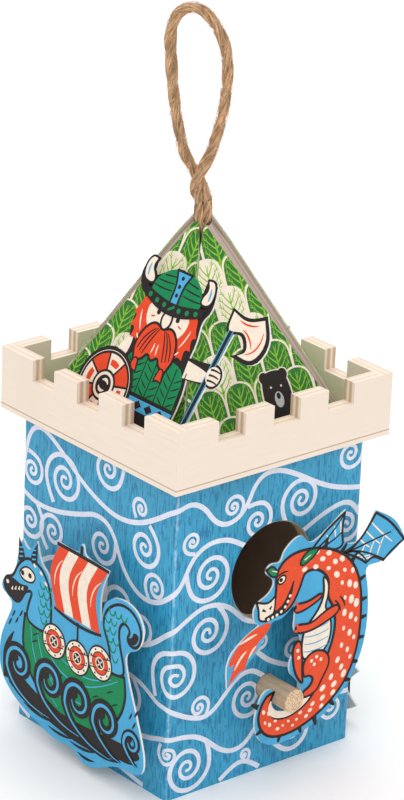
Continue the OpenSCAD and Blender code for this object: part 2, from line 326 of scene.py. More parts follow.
class Print:
    """A printed design: patches and strokes of ink, each on its own layer.

    Layers are counted outwards from the face, a step apart, and widths are in millimetres.
    """

    def __init__(self, step):
        self.step = step
        self.made = []
        self.calls = 0
        nib = bpy.data.curves.new("nib", "CURVE")
        square = nib.splines.new("POLY")
        square.points.add(3)
        for point, (x, y) in zip(square.points, ((-1, -1), (1, -1), (1, 1), (-1, 1))):
            point.co = (x * MM / 2, y * MM / 2, 0, 1)
        square.use_cyclic_u = True
        self.nib = bpy.data.objects.new("nib", nib)
        bpy.context.scene.collection.objects.link(self.nib)

    def curve(self, layer, colour, flat):
        """An empty curve for one colour, noted down for the press."""
        data = bpy.data.curves.new("ink", "CURVE")
        data.dimensions = "2D" if flat else "3D"
        data.resolution_u = 4
        obj = bpy.data.objects.new("ink", data)
        bpy.context.scene.collection.objects.link(obj)
        # What is drawn later lies a hair higher, so that no two inks share a plane
        self.made.append((obj, layer + 0.01 * self.calls, list(colour)))
        return data

    def line(self, data, points, closed, widths):
        """Adds a smooth line to a curve, which the control points pull towards them."""
        if len(points) == 2:
            points = [points[0], tuple((a + b) / 2 for a, b in zip(*points)), points[1]]
        spline = data.splines.new("NURBS")
        spline.points.add(len(points) - 1)
        for i, (point, (x, y)) in enumerate(zip(spline.points, points)):
            point.co = (x * MM, y * MM, 0, 1)
            at = i / (len(points) - 1) * (len(widths) - 1)
            low = min(int(at), len(widths) - 2) if len(widths) > 1 else 0
            high = min(low + 1, len(widths) - 1)
            point.radius = widths[low] + (widths[high] - widths[low]) * (at - low)
        spline.order_u = 3
        spline.use_cyclic_u = closed
        spline.use_endpoint_u = not closed

    def patch(self, colour, layer, *outlines):
        """Fills each outline, a closed curve, with flat ink."""
        self.calls += 1
        for points in outlines:
            data = self.curve(layer, colour, True)
            data.fill_mode = "BOTH"
            data.extrude = self.step * layer
            self.line(data, points, True, (1,))

    def stroke(self, colour, layer, widths, *lines, closed=False):
        """Draws lines whose width runs through the given widths, in millimetres."""
        self.calls += 1
        data = self.curve(layer, colour, False)
        data.twist_mode = "Z_UP"
        data.bevel_mode = "OBJECT"
        data.bevel_object = self.nib
        data.use_fill_caps = True
        for points in lines:
            self.line(data, points, closed, widths)

    def shape(self, colour, layer, width, *outlines):
        """Patches with a black outline of the given width one layer up."""
        self.patch(colour, layer, *outlines)
        self.stroke(colours().black, layer + 1, (width,), *outlines, closed=True)

    def dots(self, colour, layer, radius, *centres, squash=1.0, turn=0.0):
        """Small round or oval patches."""
        self.patch(colour, layer, *(ring(x, y, radius, 6, squash, turn) for x, y in centres))

    def press(self, name):
        """Makes the design one mesh that carries its inks as a colour attribute."""
        select_only(*(obj for obj, _, _ in self.made))
        bpy.ops.object.convert(target="MESH")
        for obj, layer, colour in self.made:
            mesh = obj.data
            top = self.step * layer
            for vertex in mesh.vertices:
                vertex.co.z = top if vertex.co.z > 0 else -top
            ink = mesh.attributes.new("ink", "FLOAT_COLOR", "POINT")
            ink.data.foreach_set("color", colour * len(mesh.vertices))
        select_only(*(obj for obj, _, _ in self.made))
        bpy.ops.object.join()
        whole = bpy.context.view_layer.objects.active
        bpy.data.objects.remove(self.nib)
        close_up(whole)
        bpy.ops.object.shade_flat()
        whole.name = name
        whole.data.materials.clear()
        whole.data.materials.append(printed_ink())
        return whole


# ---- Materials ----


def add(tree, kind, inputs=None, stops=None, **settings):
    """Adds a node with its settings, and gives its inputs their values or links."""
    made = tree.nodes.new(kind)
    for name, value in settings.items():
        setattr(made, name, value)
    for name, value in (inputs or {}).items():
        if isinstance(value, bpy.types.NodeSocket):
            tree.links.new(value, made.inputs[name])
        else:
            made.inputs[name].default_value = value
    if stops:
        ramp = made.color_ramp
        while len(ramp.elements) < len(stops):
            ramp.elements.new(0.5)
        for element, (position, colour) in zip(ramp.elements, stops):
            element.position = position
            element.color = colour
    return made


def new_material(name):
    """An empty material with its node tree, or None in its place if it is there already."""
    if name in bpy.data.materials:
        return bpy.data.materials[name], None
    material = bpy.data.materials.new(name)
    material.use_nodes = True
    material.node_tree.nodes.clear()
    return material, material.node_tree


def surface(tree, colour, bump, roughness, distance, **sockets):
    """Ends a tree in a shader with the given colour, roughness and bump height."""
    relief = add(tree, "ShaderNodeBump", {"Height": bump, "Distance": distance, "Strength": 1.0})
    inputs = {"Base Color": colour, "Roughness": roughness, "Normal": relief.outputs[0]}
    inputs.update(sockets)
    shader = add(tree, "ShaderNodeBsdfPrincipled", inputs)
    add(tree, "ShaderNodeOutputMaterial", {"Surface": shader.outputs[0]})


def stretched_noise(tree, scale, detail=3.0, roughness=0.5, place=None):
    """Noise on object coordinates, with a scale in turns per metre along each axis."""
    coordinates = place or add(tree, "ShaderNodeTexCoord").outputs["Object"]
    mapped = add(tree, "ShaderNodeMapping", {"Vector": coordinates, "Scale": scale})
    return add(
        tree, "ShaderNodeTexNoise",
        {"Vector": mapped.outputs[0], "Scale": 1.0, "Detail": detail, "Roughness": roughness},
    ).outputs["Fac"]


def mixed(tree, factor, a, b):
    """Colour a, going over to colour b with the factor."""
    return add(tree, "ShaderNodeMix", {0: factor, 6: a, 7: b}, data_type="RGBA").outputs[2]


def ramped(tree, value, low, high, to_low=0.0, to_high=1.0):
    """A value brought from one range to another, and kept in it."""
    return add(
        tree, "ShaderNodeMapRange",
        {"Value": value, "From Min": low, "From Max": high, "To Min": to_low, "To Max": to_high},
    ).outputs[0]


def shaded(tree, colour, value, low, high):
    """A colour made darker or lighter by a noise, from the low factor to the high one."""
    factor = ramped(tree, value, 0.25, 0.75, low, high)
    return add(
        tree, "ShaderNodeVectorMath", {0: colour, "Scale": factor}, operation="SCALE"
    ).outputs[0]


def reach_along(tree, vector, axis):
    """How far a vector reaches along an axis."""
    return add(
        tree, "ShaderNodeVectorMath", {0: vector, 1: axis}, operation="DOT_PRODUCT"
    ).outputs["Value"]


def calculated(tree, operation, a, b=0.0):
    """One step of arithmetic on one or two values."""
    return add(tree, "ShaderNodeMath", {0: a, 1: b}, operation=operation).outputs[0]


def darker(colour, share):
    """A colour at this share of its brightness; above 1 it is lighter."""
    return [c * share for c in colour[:3]] + [1.0]


def birch_plywood(name, normal, veneer, core, plies_pitch):
    """Birch plywood, laser cut and sanded: pale matt veneer, and layered, scorched edges in partly
    painted shade, with a painted top light on those that face up.
    """
    material, tree = new_material(name)
    if not tree:
        return material
    place = add(tree, "ShaderNodeTexCoord")
    facing = reach_along(tree, place.outputs["Normal"], normal)
    on_face = ramped(tree, calculated(tree, "ABSOLUTE", facing), 0.6, 0.8)
    depth = reach_along(tree, place.outputs["Object"], normal)
    # Fibres 0.4 mm wide and about 17 mm long, level across the face
    across = Vector((1, 1, 1)) - Vector([abs(c) for c in normal])
    long_way = (60, 2500, 900) if across.x > 0.5 else (2500, 60, 900)
    grain = stretched_noise(tree, long_way, 4.0, 0.6, place.outputs["Object"])
    cloud = stretched_noise(tree, (45, 45, 30), 2.0, 0.5, place.outputs["Object"])
    face = mixed(tree, ramped(tree, grain, 0.35, 0.75), veneer, darker(veneer, 0.93))
    face = mixed(tree, ramped(tree, cloud, 0.4, 0.75), face, darker(veneer, 0.95))
    # Along a cut edge a pale and a dark veneer show in each pitch
    band = calculated(tree, "SINE", calculated(tree, "MULTIPLY", depth, math.tau / plies_pitch))
    scorch = stretched_noise(tree, (700, 700, 120), 3.0, 0.7, place.outputs["Object"])
    band = calculated(tree, "ADD", band, calculated(tree, "MULTIPLY", scorch, 1.6))
    edge = mixed(tree, ramped(tree, band, -0.1, 1.5), veneer, core)
    upright = add(tree, "ShaderNodeSeparateXYZ", {"Vector": place.outputs["Normal"]}).outputs[2]
    # Cut edges that face up are painted paler than the scorched sides of the notches: a painted top
    # light
    edge = mixed(tree, ramped(tree, upright, 0.6, 0.9, 0.0, 0.6), edge, veneer)
    split = add(tree, "ShaderNodeSeparateXYZ", {"Vector": place.outputs["Object"]})
    furthest = calculated(
        tree, "MAXIMUM",
        calculated(tree, "ABSOLUTE", split.outputs[0]),
        calculated(tree, "ABSOLUTE", split.outputs[1]),
    )
    # At the corners of the parapet the face goes round, so that only a fine joint shows
    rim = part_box("deck_plate")[1].x
    on_face = calculated(
        tree, "MAXIMUM", on_face, ramped(tree, furthest, rim - 0.12 * MM, rim - 0.06 * MM)
    )
    colour = mixed(tree, on_face, edge, face)
    above = calculated(tree, "ABSOLUTE", calculated(tree, "SUBTRACT", split.outputs[2], DECK_TOP))
    colour = mixed(tree, ramped(tree, above, 0.12 * MM, 0.3 * MM), darker(core, 0.8), colour)
    surface(tree, colour, grain, 0.62, 0.06 * MM, IOR=1.5)
    return material


def turned_dowel():
    """Beech dowel, turned: a soft brown sheen with short flecks along it, a side darkened with
    painted shade, and rings on its end.
    """
    material, tree = new_material("beech_dowel")
    if not tree:
        return material
    place = add(tree, "ShaderNodeTexCoord")
    # Beech flecks are about 0.4 mm by 4 mm
    fleck = stretched_noise(tree, (2200, 260, 2200), 3.0, 0.6, place.outputs["Object"])
    long_grain = stretched_noise(tree, (900, 30, 900), 2.0, 0.5, place.outputs["Object"])
    # The side's colour is darkened to the perch's side in shade: painted shade
    shaded_side_wood = colours().dowel
    side = mixed(tree, ramped(tree, fleck, 0.42, 0.7), shaded_side_wood, darker(shaded_side_wood, 0.7))
    side = mixed(tree, ramped(tree, long_grain, 0.35, 0.7), side, darker(shaded_side_wood, 1.18))
    pores = stretched_noise(tree, (1900, 1900, 1900), 2.0, 0.5, place.outputs["Object"])
    end = mixed(tree, ramped(tree, pores, 0.45, 0.62), linear("E2C6A4"), linear("B48B62"))
    forward = reach_along(tree, place.outputs["Normal"], (0, -1, 0))
    colour = mixed(tree, ramped(tree, forward, 0.5, 0.7), side, end)
    surface(tree, colour, fleck, 0.55, 0.05 * MM, IOR=1.5)
    return material


# Paper fibres of 0.3 mm, in turns per metre
PAPER_FIBRE = (3300, 3300, 3300)
# Matt offset ink shines less than bare plastic
PRINT_GLOSS = {"IOR": 1.48, "Specular IOR Level": 0.25}


def printed_ink():
    """Offset ink on matt paper: flat colours with a faint paper grain and a little mottle."""
    material, tree = new_material("offset_print")
    if not tree:
        return material
    ink = add(tree, "ShaderNodeAttribute", attribute_name="ink").outputs["Color"]
    # A mottle of 3 mm, where the ink lies thinner
    fibre = stretched_noise(tree, PAPER_FIBRE, 2.0, 0.6)
    mottle = stretched_noise(tree, (330, 330, 330), 2.0, 0.5)
    colour = shaded(tree, ink, fibre, 0.86, 1.1)
    colour = shaded(tree, colour, mottle, 0.94, 1.06)
    surface(tree, colour, fibre, 0.6, 0.03 * MM, **PRINT_GLOSS)
    return material


def printed_card(name, normal, ground):
    """Coated card, printed and punched: a coloured front, and a white fibrous cut edge and back."""
    material, tree = new_material(name)
    if not tree:
        return material
    place = add(tree, "ShaderNodeTexCoord")
    facing = reach_along(tree, place.outputs["Normal"], normal)
    fibre = stretched_noise(tree, PAPER_FIBRE, 2.0, 0.6, place.outputs["Object"])
    wash = stretched_noise(tree, (120, 120, 60), 3.0, 0.6, place.outputs["Object"])
    front = shaded(tree, list(ground[:3]), fibre, 0.88, 1.08)
    front = shaded(tree, front, wash, 0.86, 1.06)
    board = mixed(tree, fibre, linear("F4F2EC"), linear("D5D2CA"))
    colour = mixed(tree, ramped(tree, facing, 0.6, 0.8), board, front)
    surface(tree, colour, fibre, 0.6, 0.03 * MM, **PRINT_GLOSS)
    return material


def wall_paper():
    """Printed wrapping paper: blue with darker brushed dashes, and white wear along the folds."""
    material, tree = new_material("blue_wall_paper")
    if not tree:
        return material
    place = add(tree, "ShaderNodeTexCoord").outputs["Object"]
    # Dashes 0.8 mm wide and about 6 mm long, with a frayed outline
    warp = stretched_noise(tree, (700, 700, 500), 2.0, 0.6, place)
    dash = stretched_noise(tree, (1250, 1250, 170), 1.0, 0.4, place)
    dash = calculated(tree, "ADD", dash, calculated(tree, "MULTIPLY", warp, 0.35))
    broad = stretched_noise(tree, (500, 500, 70), 2.0, 0.5, place)
    cloud = stretched_noise(tree, (26, 26, 16), 2.0, 0.5, place)
    light, dark = colours().wall, colours().wall_dark
    colour = mixed(tree, ramped(tree, broad, 0.45, 0.7), light, darker(light, 0.84))
    colour = mixed(tree, ramped(tree, dash, 0.73, 0.76), colour, dark)
    colour = shaded(tree, colour, cloud, 1.1, 0.86)
    split = add(tree, "ShaderNodeSeparateXYZ", {"Vector": place})
    nearest = calculated(
        tree, "MINIMUM",
        calculated(tree, "ABSOLUTE", split.outputs[0]),
        calculated(tree, "ABSOLUTE", split.outputs[1]),
    )
    rub = stretched_noise(tree, (420, 420, 150), 5.0, 0.8, place)
    # The fold is rubbed white in places, over about a millimetre
    crease = calculated(tree, "ADD", nearest, calculated(tree, "MULTIPLY", rub, 3.4 * MM))
    worn = ramped(tree, crease, TOWER_HALF + 0.55 * MM, TOWER_HALF + 1.25 * MM)
    colour = mixed(tree, calculated(tree, "MULTIPLY", worn, 0.5), colour, linear("CFE2EA"))
    fibre = stretched_noise(tree, PAPER_FIBRE, 2.0, 0.6, place)
    surface(tree, colour, fibre, 0.5, 0.04 * MM, IOR=1.48)
    return material


def leaf_paper():
    """Printed roof paper under the leaves: a pale green, lightly washed."""
    material, tree = new_material("leaf_paper")
    if not tree:
        return material
    place = add(tree, "ShaderNodeTexCoord").outputs["Object"]
    wash = stretched_noise(tree, (300, 300, 300), 3.0, 0.6, place)
    fibre = stretched_noise(tree, PAPER_FIBRE, 2.0, 0.6, place)
    colour = mixed(tree, ramped(tree, wash, 0.35, 0.7), linear("DCE2C4"), linear("B9CC92"))
    surface(tree, colour, fibre, 0.55, 0.03 * MM, IOR=1.48)
    return material


def jute_yarn(name="jute_yarn", tone=1.0):
    """Jute, spun and twisted in plies: dull tan, with dark gaps between pale fibres."""
    material, tree = new_material(name)
    if not tree:
        return material
    lie = add(tree, "ShaderNodeAttribute", attribute_name="yarn").outputs["Vector"]
    # The yarn attribute counts metres round and along a ply. Jute fibres are under 0.1 mm
    # thick, and are drawn as bundles of 0.5 mm by 4 mm, which still show
    fibre = stretched_noise(tree, (1000, 130, 1000), 4.0, 0.75, lie)
    strand = stretched_noise(tree, (420, 90, 420), 2.0, 0.5, lie)
    tan = darker(colours().jute, tone)
    colour = mixed(tree, ramped(tree, fibre, 0.4, 0.6), darker(tan, 0.42), darker(tan, 1.6))
    colour = shaded(tree, colour, strand, 0.66, 1.4)
    surface(tree, colour, fibre, 0.85, 0.4 * MM, IOR=1.5)
    return material


def foam_tape():
    """Closed-cell foam with double-sided tape: white, soft and finely pored."""
    material, tree = new_material("foam_tape")
    if not tree:
        return material
    # Pores of about 0.5 mm
    cells = add(
        tree, "ShaderNodeTexVoronoi",
        {"Vector": add(tree, "ShaderNodeTexCoord").outputs["Object"], "Scale": 2000.0},
    ).outputs["Distance"]
    foam = colours().foam
    colour = mixed(tree, ramped(tree, cells, 0.2, 0.7), darker(foam, 0.82), foam)
    surface(tree, colour, cells, 0.8, 0.15 * MM, IOR=1.45)
    return material


def cover(node, material):
    """Gives a CAD node its material."""
    mesh = frame["nodes"][node].data
    mesh.materials.clear()
    mesh.materials.append(material)


# ---- Operators ----


# Where the camera stands round the box and above the floor, and its tilt, in degrees
CAMERA_TURN, CAMERA_RISE, CAMERA_ROLL = -40.833, 22.038, 2.423
CAMERA_TARGET = Vector((3.255, 0, 130.267)) * MM
CAMERA_DISTANCE = 1.41097
CAMERA_LENS = 175.29  # focal length in millimetres


class CameraOperator(bpy.types.Operator):
    """Puts the camera where the whole nest box shows from the left of its front"""

    bl_idname = "nest_box.camera"
    bl_label = "Camera"

    def execute(self, context):
        rise, roll = math.radians(CAMERA_RISE), math.radians(CAMERA_ROLL)
        back = outwards(CAMERA_TURN) * math.cos(rise) + Vector((0, 0, math.sin(rise)))
        right = (-back).cross(Vector((0, 0, 1))).normalized()
        up = right.cross(-back)
        across = right * math.cos(roll) + up * math.sin(roll)
        upwards = up * math.cos(roll) - right * math.sin(roll)
        data = bpy.data.cameras.new("camera")
        data.lens = CAMERA_LENS
        data.clip_start, data.clip_end = 0.05, 20
        camera = bpy.data.objects.new("camera", data)
        place = CAMERA_TARGET + back * CAMERA_DISTANCE
        camera.matrix_world = matrix_of(across, upwards, back, place)
        context.scene.collection.objects.link(camera)
        context.scene.camera = camera
        return {"FINISHED"}


# Turn of the loop's plane, and the distance between points along the cord
LOOP_PLANE = Matrix.Rotation(math.radians(-41), 3, "Z")
CORD_STEP = 0.8 * MM
# Route of the hanging loop: along its plane, out of its plane, above the pivot, in millimetres
LOOP_ROUTE = [
    (-1.55, 0, 0), (-2.8, -0.9, 3.5), (-2.5, -2.0, 8), (-0.6, -1.5, 12.5), (1.6, -0.5, 17),
    (3.4, 0, 23), (5.1, 0, 30), (6.1, 0, 37), (6.6, 0, 44), (6.5, 0, 50), (5.6, 0, 56),
    (3.5, 0, 61.5), (0.5, 0, 66.3), (-3.3, 0, 69.7), (-7.3, 0, 70.5), (-11.1, 0, 68.5),
    (-13.3, 0, 64), (-13.8, 0, 58), (-13.3, 0, 51), (-12.6, 0, 44), (-11.7, 0, 37),
    (-10.5, 0, 30), (-9, 0, 23), (-7.3, 0.5, 17), (-5, 1.5, 12.5), (-2.4, 2.0, 8),
    (0, 1.1, 3.5), (1.55, 0, 0),
]


def smooth_line(points, step):
    """A curve through the points, with a point about every step."""
    line = []
    last = len(points) - 1
    for i in range(last):
        before, a, b, after = (points[max(0, min(last, j))] for j in range(i - 1, i + 3))
        count = max(1, round((b - a).length / step))
        for k in range(count):
            t = k / count
            line.append(
                0.5 * (
                    2 * a + (b - before) * t + (2 * before - 5 * a + 4 * b - after) * t ** 2
                    + (3 * a - before - 3 * b + after) * t ** 3
                )
            )
    return line + [points[-1]]


def yarn(name, line, radii, plies, lay, sides=12):
    """A twisted cord along a line: round plies that meet in the middle, with closed ends."""
    steps = [(b - a).length for a, b in zip(line, line[1:])]
    side = (line[1] - line[0]).orthogonal().normalized()
    count = plies * sides
    rings, marks = [], []
    travelled = 0.0
    for i, point in enumerate(line):
        ahead = (line[min(i + 1, len(line) - 1)] - line[max(i - 1, 0)]).normalized()
        side = (side - ahead * side.dot(ahead)).normalized()
        other = ahead.cross(side)
        if i:
            travelled += steps[i - 1]
        for k in range(count):
            ply, at = divmod(k, sides)
            # Each ply shows as an arc of its own circle round the cord's middle
            spread = (at / sides - 0.5) * math.tau / plies
            bulge = math.cos(spread * plies / 2) ** 0.7 if at else 0.0
            reach = radii[i] * (0.6 + 0.4 * bulge)
            angle = spread + math.tau * (ply / plies + travelled / lay)
            rings.append(point + reach * (math.cos(angle) * side + math.sin(angle) * other))
            # Fibres lie at a slant to their ply
            marks.append((radii[i] * spread * plies + 0.5 * travelled, travelled, ply))
    faces = [
        (i * count + k, i * count + (k + 1) % count, (i + 1) * count + (k + 1) % count,
         (i + 1) * count + k)
        for i in range(len(line) - 1) for k in range(count)
    ]
    faces += [tuple(range(count))[::-1], tuple((len(line) - 1) * count + k for k in range(count))]
    mesh = bpy.data.meshes.new(name)
    mesh.from_pydata([tuple(p) for p in rings], [], faces)
    mesh.attributes.new("yarn", "FLOAT_VECTOR", "POINT").data.foreach_set(
        "vector", [x for mark in marks for x in mark]
    )
    mesh.materials.append(jute_yarn())
    obj = bpy.data.objects.new(name, mesh)
    bpy.context.scene.collection.objects.link(obj)
    select_only(obj)
    bpy.ops.object.shade_smooth_by_angle(angle=math.radians(70))
    return obj


def stray_fibres(line, radius, count, length, seed):
    """Loose jute fibres that stand off a cord, as fine tapered strokes."""
    pick = random.Random(seed)
    data = bpy.data.curves.new("fibres", "CURVE")
    data.dimensions = "3D"
    data.resolution_u = 2
    data.bevel_depth = 0.07 * MM
    data.bevel_resolution = 0
    data.use_fill_caps = True
    for number in range(count):
        i = pick.randrange(4, len(line) - 4)
        ahead = (line[i + 1] - line[i - 1]).normalized()
        side = ahead.orthogonal().normalized()
        side.rotate(Matrix.Rotation(pick.uniform(0, math.tau), 3, ahead))
        lean = ahead * pick.uniform(-1.2, 1.2)
        if number % 5:
            # Most lie on the cord, across its plies
            slip, way = ahead * length * pick.uniform(0.15, 0.35), pick.choice((-0.6, 0.6))
            start, middle, end = (
                line[i] + (Matrix.Rotation(way * k, 3, ahead) @ side) * radius * 1.02 + slip * k
                for k in range(3)
            )
        else:
            start = line[i] + side * radius * 0.8
            middle = start + (side * 0.5 + lean) * length * pick.uniform(0.2, 0.5)
            end = middle + (side * pick.uniform(-0.2, 0.9) + lean) * length * pick.uniform(0.2, 0.6)
        spline = data.splines.new("NURBS")
        spline.points.add(2)
        for point, place, width in zip(spline.points, (start, middle, end), (1, 0.8, 0.3)):
            point.co = (*place, 1)
            point.radius = width
        spline.order_u = 3
        spline.use_endpoint_u = True
    obj = bpy.data.objects.new("fibres", data)
    bpy.context.scene.collection.objects.link(obj)
    select_only(obj)
    bpy.ops.object.convert(target="MESH")
    mesh = obj.data
    mesh.attributes.new("yarn", "FLOAT_VECTOR", "POINT").data.foreach_set(
        "vector", [x for v in mesh.vertices for x in (v.co.x, v.co.z, 0.0)]
    )
    mesh.materials.append(jute_yarn("jute_hairs", 1.3))
    close_up(obj)
    return obj


class CordOperator(bpy.types.Operator):
    """Twists the jute cord: the hanging loop, its squeezed neck in the roof and the knot"""

    bl_idname = "nest_box.cord"
    bl_label = "Jute cord"

    def execute(self, context):
        loop, fuzz, line, length = self.hanging_loop()
        neck = self.squeezed_neck()
        knot = self.tight_knot()
        return {"FINISHED"}

    def hanging_loop(self):
        """The loop over the roof with its loose fibres, and its line and length."""
        radius = sizes().cord / 2
        pivot = Vector((0, 0, PIVOT_Z))
        line = smooth_line([pivot + LOOP_PLANE @ Vector(p) * MM for p in LOOP_ROUTE], CORD_STEP)
        length = sum((b - a).length for a, b in zip(line, line[1:]))
        # Hand-spun, so it swells and thins by a tenth every couple of centimetres
        swell = [
            radius * (1 + 0.06 * math.sin(i / 9) + 0.05 * math.sin(i / 21 + 2))
            for i in range(len(line))
        ]
        loop = yarn("jute_loop", line, swell, 2, sizes().lay)
        fuzz = stray_fibres(line, radius, 1500, sizes().fuzz, 7)
        for piece, nodes in ((loop, ("hanging_loop",)), (fuzz, ())):
            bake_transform(piece)
            finish_piece(piece, piece.name, None, "jute", *nodes)
        fuzz.name = fuzz.data.name = "loop_fibres"
        return loop, fuzz, line, length

    def squeezed_neck(self):
        """The cord's two strands where they run down through the roof, wound together."""
        radius = sizes().cord / 2
        low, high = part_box("cord_neck")
        squeeze = (high.x - low.x) / 2
        knot_middle = sum(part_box("cord_knot"), Vector()) / 2
        # Height, turn in degrees, distance from the middle and radius of a strand
        stations = (
            (knot_middle.z + 2 * MM, 180, squeeze * 0.45, squeeze * 0.5),
            (low.z + 2 * MM, 150, squeeze * 0.47, squeeze * 0.52),
            ((low.z + high.z) / 2, 90, squeeze * 0.48, squeeze * 0.52),
            (high.z - 5 * MM, 30, squeeze * 0.5, squeeze * 0.52),
            (PIVOT_Z - 1.5 * MM, 0, 1.5 * MM, radius * 0.9),
            (PIVOT_Z + 0.3 * MM, 0, LOOP_ROUTE[-1][0] * MM, radius * 0.96),
        )
        widths = [width for _, _, _, width in stations]
        strands = []
        for sign in (-1, 1):
            path = smooth_line([
                LOOP_PLANE @ Matrix.Rotation(math.radians(turn), 3, "Z") @ Vector((sign * r, 0, 0))
                + Vector((0, 0, height)) for height, turn, r, _ in stations
            ], CORD_STEP)
            radii = []
            for i in range(len(path)):
                share, at = math.modf(i / (len(path) - 1) * (len(widths) - 1))
                a, b = widths[int(at)], widths[min(int(at) + 1, len(widths) - 1)]
                radii.append(a + (b - a) * share)
            strands.append(yarn("strand", path, radii, 2, sizes().lay))
        select_only(*strands)
        bpy.ops.object.join()
        neck = bpy.context.view_layer.objects.active
        return finish_piece(neck, "jute_neck", "neck", "jute", "cord_neck")

    def tight_knot(self):
        """The cord's overhand knot: a trefoil winding, drawn tight."""
        low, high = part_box("cord_knot")
        thick = 1.75 * MM
        reach = ((high.x - low.x) / 2 - thick) / 3
        count = 121
        winding = []
        for i in range(count):
            t = math.tau * i / count
            winding.append((low + high) / 2 + reach * Vector((
                math.sin(t) + 2 * math.sin(2 * t),
                math.cos(t) - 2 * math.cos(2 * t),
                -1.6 * math.sin(3 * t),
            )))
        knot = yarn("knot", winding, [thick] * count, 2, sizes().lay * 0.7)
        return finish_piece(knot, "jute_knot", "neck", "jute", "cord_knot")


class TimberOperator(bpy.types.Operator):
    """Gives the plywood panels and the dowel their woods"""

    bl_idname = "nest_box.timber"
    bl_label = "Timber"

    def execute(self, context):
        colour = colours()
        wall_plies, roof_plies = 2.7 * MM, 1.5 * MM
        along_x, along_y, upright = (1, 0, 0), (0, 1, 0), (0, 0, 1)
        for node, normal in (
            ("wall_front", along_y), ("wall_rear", along_y), ("wall_left", along_x),
            ("wall_right", along_x), ("floor_panel", upright), ("deck_plate", upright),
            ("parapet_front", along_y), ("parapet_rear", along_y),
            ("parapet_left", along_x), ("parapet_right", along_x),
        ):
            # The paper hides a wall's outer face, so that only its inner one shows
            inside = node.startswith("wall")
            # The inner faces get a darker copy of the birch veneer: painted shade inside the box
            veneer = linear("E2C8B0") if inside else colour.birch
            name = "birch_plywood_" + "xyz"[normal.index(1)] + ("_inside_shaded" if inside else "")
            cover(node, birch_plywood(name, normal, veneer, colour.birch_core_in_shade, wall_plies))
        # The bare roof plywood gets its colour as seen in shade: painted shade
        roof_shade_grey = colour.roof_ply
        for side, turn in SIDES:
            face = face_of(turn, "roof_panel_" + side, slope_of("roof_print_" + side, turn))
            axis = tuple(face.col[2][:3])
            cover(
                "roof_panel_" + side,
                birch_plywood("roof_plywood_in_shade_" + side, axis, roof_shade_grey, darker(roof_shade_grey, 0.72), roof_plies),
            )
        cover("perch", turned_dowel())
        return {"FINISHED"}


# Waves of the wall paper's design, which repeats after two walls: on the left wall, then on
# the front. Each wave goes on round the corner from where it ended
WAVES = [
    ([(-43, 102), (-42, 108), (-39.5, 116), (-35, 119.4), (-29, 118.5), (-20, 113.5), (-10, 107),
      (0, 102.5), (10, 100), (18, 100.5), (26, 103), (34, 107.5)],
     [(-45, 113), (-38, 115.6), (-31.5, 112.5), (-26.5, 105.5), (-21, 102.8), (-15, 104.3),
      (-11, 109), (-8.5, 115), (-4, 118.7), (3, 118.6), (12, 114.5), (22, 108.5), (33, 103.8),
      (43, 102)]),
    ([(-43, 91.4), (-38, 89.4), (-32, 88.8), (-24, 89.5), (-16, 91.5), (-8, 94), (-1, 96.8),
      (6, 96), (10.5, 91.5), (13.5, 85), (17.5, 79.5), (23, 75.5), (29, 74), (36, 75.5)],
     [(-45, 80), (-40.5, 84.5), (-38, 90), (-34.5, 95), (-28, 98), (-20, 97.3), (-14, 94),
      (-9, 91)]),
    ([(-43, 60), (-33, 66), (-24, 72), (-12, 72), (-2, 62), (8, 56), (20, 54.6), (27, 55.6),
      (34, 59)],
     [(-45, 66), (-38, 70), (-31, 73.2), (-24, 73), (-17.5, 70), (-13, 65.5), (-9, 62), (-2, 60)]),
    ([(-43, 50), (-30, 56), (-16, 52), (-2, 44), (10, 41), (20, 42), (27, 41.4), (33, 38.8),
      (38, 36.4)],
     [(-45, 36.5), (-40, 33.6), (-35, 31), (-28, 28.8), (-23, 30.6), (-18, 35.5), (-13.5, 40),
      (-8.5, 42), (-3.5, 41), (1, 37)]),
    ([(-43, 20), (-30, 13), (-14, 16), (2, 21), (14, 18.6), (24, 19.6), (34, 21.4)],
     [(-45, 24.4), (-38, 24), (-31, 22.5), (-25.5, 19), (-20, 14), (-14, 11.2), (-8, 12),
      (-3, 17), (1, 24), (8, 30)]),
    ([], [(14, 90.6), (22, 94.5), (30, 97.2), (36, 98), (40.5, 95.6), (43, 91.4)]),
    ([], [(-4.5, 49.5), (0, 45), (6, 41.4), (14, 38), (24, 40), (34, 50), (43, 60)]),
    ([], [(22, 30), (30, 22.4), (36, 20.2), (43, 20)]),
    ([], [(-19, 1), (-14, 4.4), (-9, 6), (-4.5, 4.4), (0, 1)]),
    ([(7, 4.6), (14, 3.8), (22, 2.6), (31, 1.1)], []), ([(-43, 4.6), (-40, 3), (-36, 1.2)], []),
]
